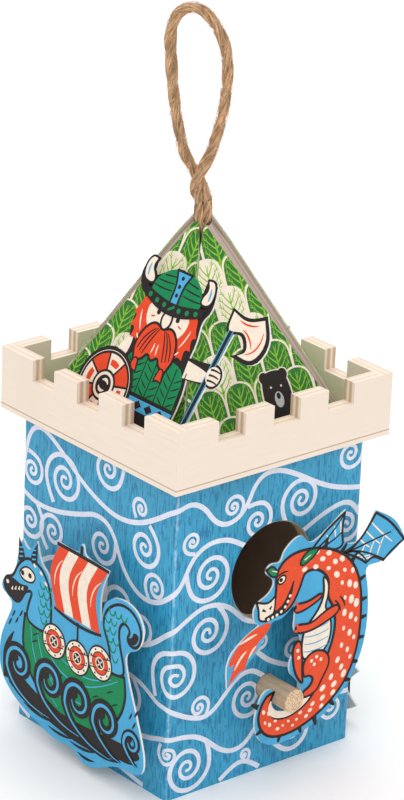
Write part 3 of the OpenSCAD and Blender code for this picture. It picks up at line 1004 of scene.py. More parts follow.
# Scrolls that leave the waves: centre, reach and angle at the wave, and turns to the left
LEFT_SCROLLS = [
    (24.5, 108, 5, 240, -1.8), (27, 94, 9.6, 75, -2.1), (5.5, 116.6, 9, 15, -2.0),
    (-19, 103.5, 12.4, 240, -2.5), (-38, 101, 7.4, 110, -2.0), (3.5, 86, 8.4, 25, -1.9),
    (34, 80.6, 6.8, 245, -2.0), (-25, 81, 8.6, 250, -2.0), (-38.6, 81, 8.8, 65, -2.1),
    (14.4, 66, 9.4, 220, -2.0), (27, 62.6, 6.4, -65, 1.8), (20, 33, 9, 70, -2.0),
    (45.4, 48.5, 13, 225, -2.5), (43.4, 18, 5, 130, 1.9), (-12, 40, 11, 130, 2.2),
    (-32, 33, 9, 250, -2.0), (4, 8.6, 7, 75, -1.8), (-24, 5.4, 4.8, 100, 1.6), (-4, 58, 6, 60, 1.7),
]
FRONT_SCROLLS = [
    (-18, 109.2, 5.4, -50, 1.9), (-6.4, 100.6, 8.4, 125, -2.0), (14.2, 104, 10.4, 230, -2.3),
    (37, 116.4, 7, 20, -1.9), (-36.4, 100.2, 5, 285, -1.8), (-27.4, 85, 11.6, 165, 2.3),
    (-27.6, 62.6, 10.6, 65, -2.2), (-30.2, 33.8, 5.4, -55, 1.8), (-7.2, 31.4, 9, -30, -2.1),
    (-34.6, 11, 12, 45, -2.4), (-7.4, 8, 3, -50, 1.5), (16, 12, 9.8, 200, 2.0),
    (34.4, 15.6, 5.6, 190, 1.8), (36.8, 88.6, 8.4, 50, -2.1), (13.8, 44.6, 6.6, -95, 1.8),
    (-1.6, 52.4, 3.4, 230, 1.5), (31, 66, 9, 250, 2.1), (37, 38, 9, 100, 2.0),
]


# Middle and radius of the entrance, how far the scrolls keep away from a hole's edge, and how
# near to it a scroll has to come to be cut
ENTRANCE = (1.5 * MM, 79.5 * MM, 18.7 * MM)
HOLE_MARGIN = 0.4 * MM
HOLE_REACH = 1 * MM


def round_the_tower(s, height, lift):
    """Place on the wall paper at a distance along its outline, from the middle of the front."""
    fold, flat, quarter = FOLD * MM, WALL_FLAT * MM, QUARTER * MM
    side = math.floor((s + flat / 2) / quarter)
    along_side = s + flat / 2 - side * quarter
    if along_side <= flat:
        place = Vector((along_side - flat / 2, -TOWER_HALF - lift, height))
    else:
        angle = (along_side - flat) / fold
        place = Vector((
            flat / 2 + (fold + lift) * math.sin(angle),
            -flat / 2 - (fold + lift) * math.cos(angle), height,
        ))
    place.rotate(Matrix.Rotation(side * math.pi / 2, 3, "Z"))
    return place


class WallOperator(bpy.types.Operator):
    """Papers the walls in blue and prints scrolls round all four of them"""

    bl_idname = "nest_box.wall_paper"
    bl_label = "Wall paper"

    def execute(self, context):
        size, ink = sizes(), colours()
        cover("wall_wrap", wall_paper())
        sheet = Print(size.ink)
        width = size.scroll / MM
        for turn in (0, 2 * QUARTER):
            for on_left, on_front in WAVES:
                wave = [(x + turn - QUARTER, y) for x, y in on_left]
                wave += [(x + turn, y) for x, y in on_front]
                sheet.stroke(ink.scroll, 1, (width,), wave)
            for shift, scrolls in ((turn - QUARTER, LEFT_SCROLLS), (turn, FRONT_SCROLLS)):
                for x, y, radius, start, turns in scrolls:
                    curl = spiral(x + shift, y, radius, radius * 0.1, start, turns, 9, 1.35)
                    thin = min(1.0, 0.55 + radius / 22)
                    sheet.stroke(
                        ink.scroll, 2, (width * thin, width * thin * 0.9, width * 0.6), curl
                    )
                    sheet.dots(ink.scroll, 2, width * 0.36, curl[-1])
        whole = sheet.press("scrolls")
        # Enough cuts across every fold for the ink to follow it
        cuts = []
        for corner in range(5):
            for step in range(-5, 6):
                place = (corner - 1.5) * QUARTER + math.pi / 4 * FOLD * step / 5
                cuts.append((bpy.ops.mesh.bisect, {
                    "plane_co": (place * MM, 0, 0), "plane_no": (1, 0, 0), "threshold": CLOSE,
                }))
                cuts.append((bpy.ops.mesh.select_all, {"action": "SELECT"}))
        edit_all(whole, *cuts)
        for vertex in whole.data.vertices:
            s, height, lift = vertex.co
            vertex.co = round_the_tower(s, height, lift)
        trim_holes(whole)
        close_up(whole)
        finish_piece(whole, "wall_scrolls", "house", "wall_paper")
        return {"FINISHED"}


def trim_holes(whole):
    """Cuts the entrance and the perch out of the scrolls on the front."""
    low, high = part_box("perch")
    perch = ((low.x + high.x) / 2, (low.z + high.z) / 2, (high.x - low.x) / 2)
    for x, z, radius in (ENTRANCE, perch):
        radius += HOLE_MARGIN
        # Only the lines that run into the hole are cut, so that the others stay as drawn
        for element in (*whole.data.polygons, *whole.data.edges):
            element.select = False
        for vertex in whole.data.vertices:
            side = vertex.co - Vector((x, 0, z))
            vertex.select = side.y < 0 and math.hypot(side.x, side.z) < radius + HOLE_REACH
        if not any(vertex.select for vertex in whole.data.vertices):
            continue
        select_only(whole)
        bpy.ops.object.mode_set(mode="EDIT")
        bpy.ops.mesh.select_linked()
        bpy.ops.mesh.separate(type="SELECTED")
        bpy.ops.object.mode_set(mode="OBJECT")
        crossing = next(o for o in bpy.context.selected_objects if o != whole)
        bpy.ops.object.select_all(action="DESELECT")
        bpy.ops.mesh.primitive_cylinder_add(
            vertices=64, radius=radius, depth=6 * MM, location=(x, -TOWER_HALF, z),
            rotation=(math.pi / 2, 0, 0),
        )
        cutter = bpy.context.view_layer.objects.active
        select_only(crossing)
        modifier = crossing.modifiers.new("hole", "BOOLEAN")
        modifier.operation = "DIFFERENCE"
        modifier.object = cutter
        modifier.solver = "EXACT"
        modifier.use_self = True
        bpy.ops.object.modifier_apply(modifier=modifier.name)
        bpy.data.objects.remove(cutter)
        select_only(crossing, whole)
        bpy.ops.object.join()


# Each pair of veins: how far below the leaf's tip it leaves the rib, in millimetres, and the
# share of the half width that it reaches
VEINS = ((3.4, 0.5), (5.8, 0.72), (8.4, 0.78), (11.2, 0.78), (14.4, 0.72), (18, 0.66))


def leaf(sheet, x, top, width, pale, layer):
    """One tongue-shaped leaf with its rim, its rib and its forked veins."""
    ink = colours()
    half = width / 2
    body = [
        (x - half, top - 24), (x - half, top - 24), (x - half * 1.04, top - 8),
        (x - half * 0.92, top - 1.2), (x, top + 0.9), (x + half * 0.92, top - 1.2),
        (x + half * 1.04, top - 8), (x + half, top - 24), (x + half, top - 24),
    ]
    inner = [(x + (a - x) * 0.9, b - 0.7) for a, b in body]
    sheet.patch(ink.cream, layer, body)
    sheet.patch(ink.cream if pale else ink.leaf, layer + 1, inner)
    lines, fine = [], []
    for i, (drop, share) in enumerate(VEINS):
        reach = half * share
        for way in (-1, 1):
            tip = (x + way * reach, top - drop + 2.2 + 0.25 * i)
            root = (x, top - drop - 2.6)
            bend = (x + way * reach * 0.42, top - drop - 1.2)
            lines.append([root, bend, tip])
            for share, side in ((0.45, 1), (0.7, -1), (0.8, 1)):
                a = (bend[0] + (tip[0] - bend[0]) * share, bend[1] + (tip[1] - bend[1]) * share)
                lean = (way * 1.4, 0.5) if side < 0 else (way * 0.1, 1.9)
                fine.append([a, (a[0] + lean[0] * 0.6, a[1] + lean[1] * 0.4),
                             (a[0] + lean[0], a[1] + lean[1])])
    fine.append([(x, top - 5), (x + 0.5, top - 3.4), (x + 1.1, top - 1.9)])
    rib = [(x, top - 23), (x + 0.3, top - 12), (x, top - 2)]
    sheet.stroke(ink.lime, layer + 2, (1.5, 0.8, 0.3), rib)
    sheet.stroke(ink.lime, layer + 2, (0.7, 0.5, 0.2), *lines)
    sheet.stroke(ink.lime, layer + 2, (0.38, 0.16), *fine)


# How far the leaves stand to the right, and the row and place of each pale one
LEFT_LEAVES = (4.6, ((6, -1), (3, -1)))
OTHER_LEAVES = (0.6, ((3, -1), (4, 0), (5, 0), (6, -1)))
LOWEST_LEAF = 4  # from the deck up the slope to the tips of the lowest row
BEAR = (10.5, 16)  # middle of the bear's head


class RoofOperator(bpy.types.Operator):
    """Prints overlapping leaves on the four roof sheets, and a bear's head on the front one"""

    bl_idname = "nest_box.roof_prints"
    bl_label = "Roof prints"

    def execute(self, context):
        for side, turn in SIDES:
            node = "roof_print_" + side
            cover(node, leaf_paper())
            self.print_leaves(node, side, turn)
        return {"FINISHED"}

    def print_leaves(self, node, side, turn):
        """Rows of leaves from the top down, each row over the one above it."""
        size = sizes()
        pitch, rise = size.leaf_pitch / MM, size.leaf_rise / MM
        face = face_of(turn, node, slope_of(node, turn))
        flat = [face.inverted() @ v.co / MM for v in frame["nodes"][node].data.vertices]
        top = max(p.y for p in flat)
        left = min(flat, key=lambda p: p.x)
        shift, pale_leaves = LEFT_LEAVES if side == "left" else OTHER_LEAVES
        sheet = Print(size.ink * 0.4)
        rows = math.ceil((top + 6) / rise)
        for row in range(rows, -1, -1):
            crest = LOWEST_LEAF + row * rise
            # The sheet's half width a little below the leaf's tip
            half = abs(left.x) * (1 - (crest - 12) / top)
            for i in range(-4, 5):
                x = (i + 0.5 * ((row + 1) % 2)) * pitch + shift
                if abs(x) < half + pitch * 0.7:
                    leaf(sheet, x, crest, pitch, (row, i) in pale_leaves, 1 + 3 * (rows - row))
        if side == "front":
            self.bear(sheet, *BEAR, 3 * rows + 5)
        whole = sheet.press(node + "_ink")
        # The sheet's own edges trim the leaves
        outline = [flat[i].to_2d() for i in convex_hull_2d([p.to_2d() for p in flat])]
        for a, b in zip(outline, outline[1:] + outline[:1]):
            if (b - a).length > 0.5:
                away = Vector((b.y - a.y, a.x - b.x, 0)).normalized()
                edit_all(whole, (bpy.ops.mesh.bisect, {
                    "plane_co": (*a * MM, 0), "plane_no": tuple(away),
                    "use_fill": True, "clear_outer": True, "threshold": CLOSE,
                }))
        close_up(whole)
        put(whole, face)
        finish_piece(whole, side + "_leaves", "house", "roof_paper")

    def bear(self, sheet, x, y, layer):
        """A black bear's head, looking out from behind the parapet."""
        ink = colours()
        sheet.patch(ink.cream, layer, ring(x - 4.4, y + 9.2, 2.5), ring(x + 4.4, y + 9.2, 2.5))
        head = [
            (x - 6.2, y - 6), (x - 6.6, y + 4), (x - 5, y + 10.4), (x, y + 11.4),
            (x + 5, y + 10.4), (x + 6.6, y + 4), (x + 6.2, y - 6), (x + 3, y - 12), (x - 3, y - 12),
        ]
        sheet.patch(ink.cream, layer, [(x + (a - x) * 1.1, b + 0.4) for a, b in head])
        sheet.patch(ink.black, layer + 1, head)
        sheet.patch(ink.black, layer + 2, ring(x - 4.4, y + 9.2, 2.1), ring(x + 4.4, y + 9.2, 2.1))
        sheet.patch(linear("B9BFC0"), layer + 3, ring(x + 0.3, y + 0.6, 2.0, squash=1.45))
        sheet.patch(ink.black, layer + 4, ring(x + 0.3, y + 1.9, 0.9, squash=1.3))
        sheet.dots(ink.cream, layer + 4, 0.4, (x - 2.2, y + 5.4), (x + 2.5, y + 5.2))


# Sail of the ship: left edge, right edge, each from the yard down to the foot
SAIL_LEFT = [(-9.4, 84.2), (-15.5, 73), (-10.4, 59)]
SAIL_RIGHT = [(18.3, 83.6), (10.8, 72), (15, 58.4)]


def draw_ship(sheet):
    """A longship with a beast's head, shields along its side, and curling waves."""
    ship_hull(sheet)
    ship_beast(sheet)
    ship_stern(sheet)
    ship_sail(sheet)
    for x, y in ((-11, 45.5), (2.7, 44.2), (15.8, 47.2)):
        draw_round_shield(sheet, x, y, 6.9)
    ship_sea(sheet)


def ship_hull(sheet):
    """The green hull with its planks and their grain."""
    ink = colours()
    hull = [
        (-28.5, 50), (-28.5, 50), (-17, 46.6), (-5, 43.4), (8, 43), (18, 45), (29.5, 47),
        (29.5, 47), (31, 38), (26, 27), (12, 17), (-6, 17), (-22, 23), (-30, 36),
    ]
    sheet.shape(ink.green, 2, 1.2, hull)
    planks = [
        [(-25, 47), (-24, 37), (-17, 26), (-8, 20)], [(-21, 46), (-19, 37), (-12, 28), (-2, 22)],
        [(-17, 45), (-13, 37), (0, 33), (14, 36), (26, 44)],
        [(-9, 41), (2, 37.5), (14, 39), (22, 43)], [(-14, 31), (-4, 27), (8, 26), (20, 32)],
    ]
    sheet.stroke(ink.sky, 3, (0.3, 0.6, 0.3), *planks)
    grain = [[(x, y), (x + 1.6, y + 1.4), (x + 3.6, y + 2)] for x, y in (
        (-24, 40), (-21, 33), (-15, 34), (-9, 32), (3, 34), (12, 32), (20, 37), (23, 33), (-4, 30),
        (-23.5, 43), (8, 29), (16, 41),
    )]
    sheet.stroke(ink.black, 3, (0.3, 1.0, 0.2), *grain)


def ship_beast(sheet):
    """The blue beast's head on the bow, with its black muzzle, teeth, eye and ears."""
    ink = colours()
    neck = [
        (-28, 48), (-26.5, 55), (-24, 60.5), (-28.5, 59), (-32.5, 54), (-38, 53.5), (-41.6, 56.5),
        (-40.5, 60.8), (-36, 62), (-33.4, 68), (-28, 73), (-19.5, 72), (-14, 65), (-13, 56),
        (-13.6, 47.2), (-13.6, 47.2), (-21, 46.4),
    ]
    sheet.shape(ink.sky, 3, 1.15, neck)
    muzzle = [
        (-41.6, 56.2), (-40.8, 60.4), (-36, 61.8), (-31.5, 60.4), (-26, 62), (-28.6, 57.6),
        (-31.6, 52.6), (-35.4, 52), (-38.4, 54.6),
    ]
    sheet.patch(ink.black, 4, muzzle)
    teeth = [[(-36.5 + 2 * i, 56.6 + 0.7 * i), (-36 + 2 * i, 58.2 + 0.7 * i)] for i in range(4)]
    sheet.stroke(ink.cream, 5, (1.1, 0.2), *teeth)
    sheet.dots(ink.cream, 5, 0.8, (-39.2, 58.9))
    eye = [(-33, 65.4), (-28, 69.6), (-22.4, 67.4), (-24, 63.4), (-30, 62.8)]
    sheet.shape(ink.cream, 5, 0.7, eye)
    sheet.dots(ink.black, 7, 1.0, (-30.4, 65.6), (-26, 66))
    for x, y, lean in ((-31.5, 70.5, -1.5), (-24, 72, 2)):
        ear = [(x - 2, y - 1), (x - 1.6, y + 3), (x + lean, y + 8.4), (x + lean, y + 8.4),
               (x + 2, y + 3.6), (x + 2, y - 1)]
        sheet.patch(ink.black, 4, ear)
        bars = [[(x - 1, y + h), (x + 1.2, y + h + 0.7)] for h in (1, 2.8, 4.6)]
        sheet.stroke(ink.sky, 5, (0.7, 0.4), *bars)


def ship_stern(sheet):
    """The curled stern, and the scales on both ends of the ship."""
    ink = colours()
    stern = [
        (20, 45.6), (21.6, 51), (20, 57), (16.4, 63), (18.4, 70), (26, 75), (34, 74), (38.4, 68.5),
        (37.4, 62), (33, 60), (30, 62.4), (32.4, 66), (28.6, 68.6), (25.4, 65), (26.4, 58),
        (28.8, 52), (29.4, 46.6),
    ]
    sheet.shape(ink.sky, 3, 1.15, stern)
    tip = [(31.4, 61), (35, 61.4), (37.6, 66), (33.8, 66.8), (33.2, 64), (30.6, 63)]
    sheet.patch(ink.black, 4, tip)
    scales = []
    # First scale of each row, and how many follow to the right
    for x, y, count in (
        (-17.5, 51, 2), (-19, 54.4, 2), (-18, 57.8, 2), (-19.4, 61.2, 2), (-18.4, 64.6, 2),
        (24, 52, 1), (22.6, 55.4, 1), (21, 58.8, 2), (19, 62.4, 2), (19.4, 66, 2), (21.6, 69.6, 3),
    ):
        for i in range(count):
            a = x + 3.4 * i
            scales.append([
                (a - 1.7, y + 1.2), (a - 1.2, y - 1.2), (a + 1.2, y - 1.2), (a + 1.7, y + 1.2),
            ])
    sheet.stroke(ink.green, 4, (0.5, 0.8, 0.5), *scales)
    sheet.dots(ink.cream, 4, 1.0, (-23.4, 71), (-19.6, 69.4), (-16.6, 66.2), squash=0.6, turn=-35)


def cloth(left, right):
    """Outline between a left and a right edge of three points each, with sharp corners."""
    return [*sharp(left[0]), left[1], *sharp(left[2], right[2]), right[1], *sharp(right[0])]


def ship_sail(sheet):
    """The mast, and the cream and red striped sail between its yards."""
    ink = colours()
    sheet.stroke(ink.black, 2, (1.1,), [(2.4, 44), (2.4, 58)])
    sheet.stroke(ink.black, 2, (1.7,), [(3.3, 80), (3.4, 88.6)])
    sheet.patch(ink.cream, 3, cloth(SAIL_LEFT, SAIL_RIGHT))
    for i in (0, 2, 4):
        # Every other fifth of the sail is red, with a pale line down its upper half
        left, right = (
            [
                tuple(a + (b - a) * (i + edge) / 5 for a, b in zip(start, end))
                for start, end in zip(SAIL_LEFT, SAIL_RIGHT)
            ]
            for edge in (0, 1)
        )
        sheet.patch(ink.red, 4, cloth(left, right))
        top, middle = (((p[0] + q[0]) / 2, (p[1] + q[1]) / 2) for p, q in zip(left[:2], right))
        sheet.stroke(ink.cream, 5, (0.2, 0.9, 0.2), [
            (top[0] - 0.6, top[1] - 5), (middle[0] + 0.9, middle[1] + 2),
            (middle[0] + 1.2, middle[1] - 5),
        ])
    sheet.stroke(ink.black, 6, (1.3, 1.5, 1.1), [(-10.6, 84.7), (4, 84.9), (19, 84.2)])
    sheet.stroke(ink.black, 6, (1.1, 1.4, 1.1), [(-11.4, 59), (2.4, 55.4), (15.8, 58.2)])


def ship_sea(sheet):
    """The black sea under the ship, its curling waves with their blue light, and the spray."""
    ink = colours()
    water = [
        (-37, 22), (-24, 14.6), (-8, 11.4), (8, 10), (24, 12), (40, 17.4), (39, 21), (28, 20.6),
        (12, 19), (-4, 18), (-20, 20), (-32, 25), (-38, 28),
    ]
    sheet.patch(ink.black, 5, water)
    sheet.stroke(ink.black, 6, (2.6, 3.4, 2.6, 0.4), [(-39, 20), (-39.8, 28), (-38, 35), (-35, 40)])
    crests = [
        [(-37, 19), (-30, 15.8), (-22, 16.4)], [(-28, 14), (-20, 11.8), (-12, 12.6)],
        [(-13, 10.4), (-6, 9), (1, 10.8)], [(0, 9.4), (8, 8.4), (15, 11)],
        [(4.6, 7), (9, 5.4), (14, 7)], [(15, 10.8), (22, 10.6), (29, 13)],
        [(24, 15), (31, 13.4), (38, 15.8)],
    ]
    sheet.stroke(ink.black, 6, (0.2, 2.0, 0.2), *crests)
    for i, (x, y, radius, reach) in enumerate((
        (-31.6, 28.4, 7, 1), (-13, 28.6, 7.2, 1), (3.6, 27.2, 7.4, 1), (19.6, 25.6, 7, 0.5),
        (35, 23, 4.4, 0.3),
    )):
        # A wave rises from the right in a bow and then curls in; the last two are shorter
        wave = [
            (x + a * radius * (reach if a > 0 else 1), y + b * radius * (1 if reach == 1 else 0.86))
            for a, b in ((2.7, -2.1), (1.6, -2.1), (0.5, -1.8), (-0.5, -1.25), (-1.0, -0.5))
        ]
        wave += spiral(x, y, radius, radius * 0.3, 188, -1.25, 12)
        wide = 0.72 * radius
        widths = (0.4, wide * 0.7, wide, wide, wide, wide * 0.8, wide * 0.6, wide * 0.4)
        sheet.stroke(ink.black, 7 + 2 * i, widths, wave)
        sheet.stroke(ink.sky, 8 + 2 * i, (0.2, 0.8, 1.3, 1.4, 1.3, 1.1, 0.8, 0.4), wave[:-3])
    drops = [(-36, 46), (-38, 42), (-34, 44), (-31.6, 47.6), (33, 32), (36, 34), (35, 29)]
    spray = [[(x, y), (x + 1, y + 1.6), (x + 1.6, y + 3)] for x, y in drops]
    sheet.stroke(ink.black, 5, (0.3, 1.3, 0.2), *spray)


def draw_round_shield(sheet, x, y, radius):
    """A round shield with a studded cream rim, a red field and a boss."""
    ink = colours()
    sheet.patch(ink.black, 7, ring(x, y, radius))
    sheet.patch(ink.cream, 8, ring(x, y, radius * 0.9))
    sheet.patch(ink.black, 9, ring(x, y, radius * 0.66))
    sheet.patch(ink.red, 10, ring(x, y, radius * 0.6))
    planks = [
        [(x - radius * 0.8, y + d * radius - 1), (x + radius * 0.8, y + d * radius + 1)]
        for d in (-0.28, 0.32)
    ]
    sheet.stroke(ink.black, 11, (0.4,), *planks)
    sheet.patch(ink.cream, 12, ring(x, y, radius * 0.36))
    sheet.patch(ink.black, 13, ring(x, y, radius * 0.29))
    studs = [polar(x, y, radius * 0.78, 40 * i) for i in range(9)]
    sheet.dots(ink.black, 11, 0.4, *studs)
    sheet.stroke(ink.cream, 14, (0.5,), [(x - 1.2, y - 1.2), (x + 1.2, y + 1.2)],
                 [(x - 1.2, y + 1.2), (x + 1.2, y - 1.2)])


# Middle of the dragon's neck, back and tail, from its head to the tip of its tail
DRAGON_SPINE = [
    (2, 84), (12, 85), (22, 81.5), (29, 75), (31.6, 66), (32, 54), (31, 43), (26, 32), (16, 24.5),
    (4, 21), (-4.5, 23.5), (-8, 30), (-5.5, 35),
]


def draw_dragon(sheet):
    """A red dragon that rears up, breathes fire and curls its tail."""
    dragon_wings(sheet)
    dragon_body(sheet)
    dragon_limbs(sheet)
    dragon_spots(sheet)
    dragon_head(sheet)
    dragon_flame(sheet)


def dragon_wings(sheet):
    """Both wings, with their ribs and pale bars."""
    ink = colours()
    wing = [
        (27, 83.4), (27, 83.4), (35, 86), (42, 95.6), (42, 95.6), (50, 90), (56.8, 81.4),
        (56.8, 81.4), (51, 78.6), (47, 75.4), (47, 75.4), (42, 78.6), (38.4, 76.6), (38.4, 76.6),
        (34, 80),
    ]
    far_wing = [
        (11, 88.4), (11, 88.4), (17, 94), (26.6, 99.6), (26.6, 99.6), (25.4, 92), (27, 86),
        (20, 86),
    ]
    sheet.shape(ink.sky, 2, 1.0, wing, far_wing)
    ribs = [[(28, 83), (34, 84), (x, y)] for x, y in ((42, 95), (50, 86), (47, 76), (38.6, 77.4))]
    ribs += [[(12, 88), (19, 90), (26, 98.6)], [(13, 88), (20, 88.6), (25.6, 92)]]
    sheet.stroke(ink.black, 3, (0.9, 0.6), *ribs)
    # Bars across the wing, at these shares of the way from its root to its ends
    bars = []
    for share in (0.42, 0.62, 0.82):
        for ends in (((42, 95), (56, 81.6)), ((51, 86), (47, 76)), ((47, 77), (38.6, 77.4))):
            p, q = (
                tuple(s + (e - s) * share for s, e in zip((28, 83), end)) for end in ends
            )
            middle = ((p[0] + q[0]) / 2 - 0.9, (p[1] + q[1]) / 2)
            bars.append([p, middle, q])
    for share in (0.45, 0.7, 0.9):
        bars.append([(12 + 14 * share, 88 + 10.6 * share), (14 + 12.4 * share, 88.6 + 3 * share)])
    sheet.stroke(ink.cream, 2.5, (0.3, 1.0, 0.3), *bars)


def dragon_body(sheet):
    """The spiked back, the body with its curled tail, and the ribbed belly."""
    ink = colours()
    spikes = []
    for i in range(15):
        (x, y), (nx, ny) = along(DRAGON_SPINE, 0.12 + 0.84 * i / 14)
        width = 5.0 if i < 11 else 3.9
        spikes.append([
            (x + nx * (width - 0.6), y + ny * (width - 0.6)),
            (x + nx * (width + 3.2), y + ny * (width + 3.2) + 0.3),
        ])
    sheet.stroke(ink.black, 4, (2.3, 1.7, 0.9), *spikes)
    body = [
        (-4.6, 77), (-5.4, 84), (0, 89.4), (10, 89.8), (21, 87), (31, 80.4), (36.4, 70), (37.6, 56),
        (36.4, 42), (31, 30), (20, 21.6), (6, 16.8), (-6.4, 18.4), (-11.4, 27), (-7.8, 35.4),
        (-3.4, 36.2), (-3.4, 36.2), (-5.8, 31.6), (-4, 25.6), (4, 23.8), (13, 27), (18, 33),
        (21, 42), (25, 52), (24.4, 62), (20, 68), (21, 75), (15, 80.6), (8.4, 81), (7, 76),
        (3.4, 69), (-1.6, 66.4), (-6, 68.4),
    ]
    sheet.shape(ink.orange, 5, 1.1, body)
    belly = [
        (17.4, 77.4), (20.6, 74), (20.6, 68), (19, 64), (22.6, 59), (23, 52), (20.6, 46.6),
        (13, 44.8), (9.2, 46), (8.8, 52), (9.8, 58), (14, 61.4), (17.6, 66), (18.6, 71),
    ]
    sheet.shape(ink.cream, 7, 0.9, belly)
    folds = [[(10, y), (15.6, y - 1.5), (21.6, y + 0.2)] for y in (48.6, 51.6, 54.6, 57.4)]
    sheet.stroke(ink.sky, 8, (0.3, 0.7, 0.3), *folds)
    tail_under = [
        (-4.6, 34), (-6.4, 30), (-4, 25.8), (4, 24), (12, 27), (15.6, 31), (12, 29.6), (4, 26.8),
        (-2, 28), (-4.4, 31),
    ]
    sheet.patch(ink.cream, 7, tail_under)


def dragon_limbs(sheet):
    """The arms with their claws, and the legs."""
    ink = colours()
    upper_arm = [
        (17.6, 70.6), (11, 68.2), (5.4, 69), (4.6, 66.6), (5.6, 65.2), (10, 65.6), (17.4, 68.2),
    ]
    lower_arm = [
        (26, 64), (19, 62.4), (13, 59), (6.4, 60.6), (5.2, 58.6), (6.6, 56.8), (13, 56.2),
        (21, 58.2), (26.4, 60.4),
    ]
    sheet.shape(ink.orange, 9, 0.9, upper_arm)
    sheet.shape(ink.orange, 9, 0.9, lower_arm)
    claws = [[(6.6, 67.2), (5, 69.6)], [(6, 66.4), (4.8, 66.6)], [(7, 58.8), (5.6, 61)],
             [(6.4, 58), (5, 58.2)], [(11, 31), (9.4, 32.6)]]
    sheet.stroke(ink.orange, 10, (1.4, 0.6), *claws)
    sheet.stroke(ink.black, 11, (0.5, 0.9, 0.3), [(24, 65.4), (26.6, 63.4), (27, 60.6)],
                 [(26.4, 66.4), (28.6, 64.4), (29, 62)])
    far_leg = [(5, 46), (4.6, 52), (8, 54.6), (9.4, 48), (9.6, 40), (10.6, 35), (6.6, 40)]
    thigh = [
        (10.4, 38), (9.8, 44.6), (14.6, 48), (21, 46.4), (23.4, 41), (19.4, 35), (17, 30.6),
        (10.8, 29.6), (10.4, 32.4), (14, 33.6), (15.6, 36.6), (13, 38.6),
    ]
    sheet.shape(ink.orange, 9, 0.9, far_leg)
    sheet.shape(ink.orange, 11, 0.9, thigh)


def dragon_spots(sheet):
    """Pale spots in three rows along the back, smaller on the tail, and a few on the leg."""
    ink = colours()
    pick = random.Random(11)
    for i in range(50):
        (x, y), (nx, ny) = along(DRAGON_SPINE, 0.05 + 0.9 * i / 49)
        slide = (-2.9, 0.5, 3.1)[i % 3] * (0.95 if i < 36 else 0.5)
        radius = pick.uniform(0.9, 1.75) * (1 if i < 36 else 0.6)
        sheet.dots(ink.cream, 7, radius, (x + nx * slide, y + ny * slide), squash=0.72,
                   turn=math.degrees(math.atan2(-nx, ny)))
    leg_spots = [(14, 44), (16.4, 45), (18.6, 43.4), (15.4, 42.2), (7, 50), (7.6, 47)]
    sheet.dots(ink.cream, 13, 0.7, *leg_spots)


def dragon_head(sheet):
    """The muzzle, the mouth with its teeth, the eye, the ear and the crest."""
    ink = colours()
    muzzle = [
        (-14, 74.8), (-14, 74.8), (-12.6, 71), (-12.6, 66.8), (-8, 66), (-5.2, 68.2),
        (-5, 75), (-5, 75), (-8, 72.8), (-11.4, 73.6),
    ]
    sheet.shape(ink.cream, 7, 0.8, muzzle)
    sheet.stroke(ink.black, 9, (1.1, 0.5), [(-11, 71), (-9.4, 70)], [(-7.6, 70.4), (-6.6, 71.4)])
    mouth = [(-9.6, 66.6), (-3, 67.6), (1.2, 71), (3.4, 78.6)]
    sheet.stroke(ink.black, 9, (2.0, 2.8, 2.6, 0.5), mouth)
    teeth = [(-8, 66.5), (-6, 66.8), (-4, 67.2), (-2, 68), (-0.2, 69.4), (1, 71.2), (1.9, 73.2)]
    sheet.dots(ink.cream, 10, 0.62, *teeth)
    sheet.shape(ink.cream, 7, 0.7, ring(-2.4, 80.6, 1.9, squash=0.8, turn=25))
    sheet.dots(ink.black, 9, 0.8, (-2.8, 80.6))
    sheet.stroke(ink.black, 9, (0.3, 1.2, 0.3), [(-5.2, 82), (-2.4, 83.8), (0.4, 83.2)])
    ear = [(-4.4, 84), (-7, 87.4), (-10, 86.2), (-10, 86.2), (-7.6, 83), (-5, 82.4)]
    crest = [(6, 86), (10, 89.4), (15, 88.6), (15, 88.6), (12.6, 86), (9.6, 84.4), (6.4, 83.4)]
    sheet.shape(ink.green, 9, 0.8, ear, crest)
    sheet.stroke(ink.cream, 11, (0.6, 0.2), [(-5, 84.4), (-7.4, 85.4)], [(8, 85.6), (11, 87)])


def dragon_flame(sheet):
    """The flame out of the mouth, with its pale tongues."""
    ink = colours()
    flame = [
        (-5.6, 65.2), (-12, 65), (-19, 62.4), (-25.6, 55), (-25.2, 52), (-25.2, 52), (-22.6, 53.6),
        (-25.6, 45), (-25.6, 45), (-20, 49.6), (-17.6, 49), (-17.4, 53.4), (-12.6, 55.4),
        (-13, 58), (-8.6, 60.6),
    ]
    sheet.patch(ink.orange, 2, flame)
    sheet.stroke(ink.cream, 3, (0.3, 1.7, 0.3), [(-23, 50.4), (-20.4, 55), (-17.6, 56.6)],
                 [(-21, 60), (-17, 61.4), (-13, 62)], [(-16.4, 53.4), (-14.8, 56.4), (-13, 57.4)])


WARRIOR_MIDDLE = 10.8  # upright line through the middle of the warrior's face and helmet


def draw_warrior(sheet):
    """A bearded warrior with a horned helmet, an axe and a round shield."""
    warrior_clothes(sheet)
    warrior_face(sheet)
    warrior_helmet(sheet)
    warrior_axe(sheet)
    warrior_shield(sheet)


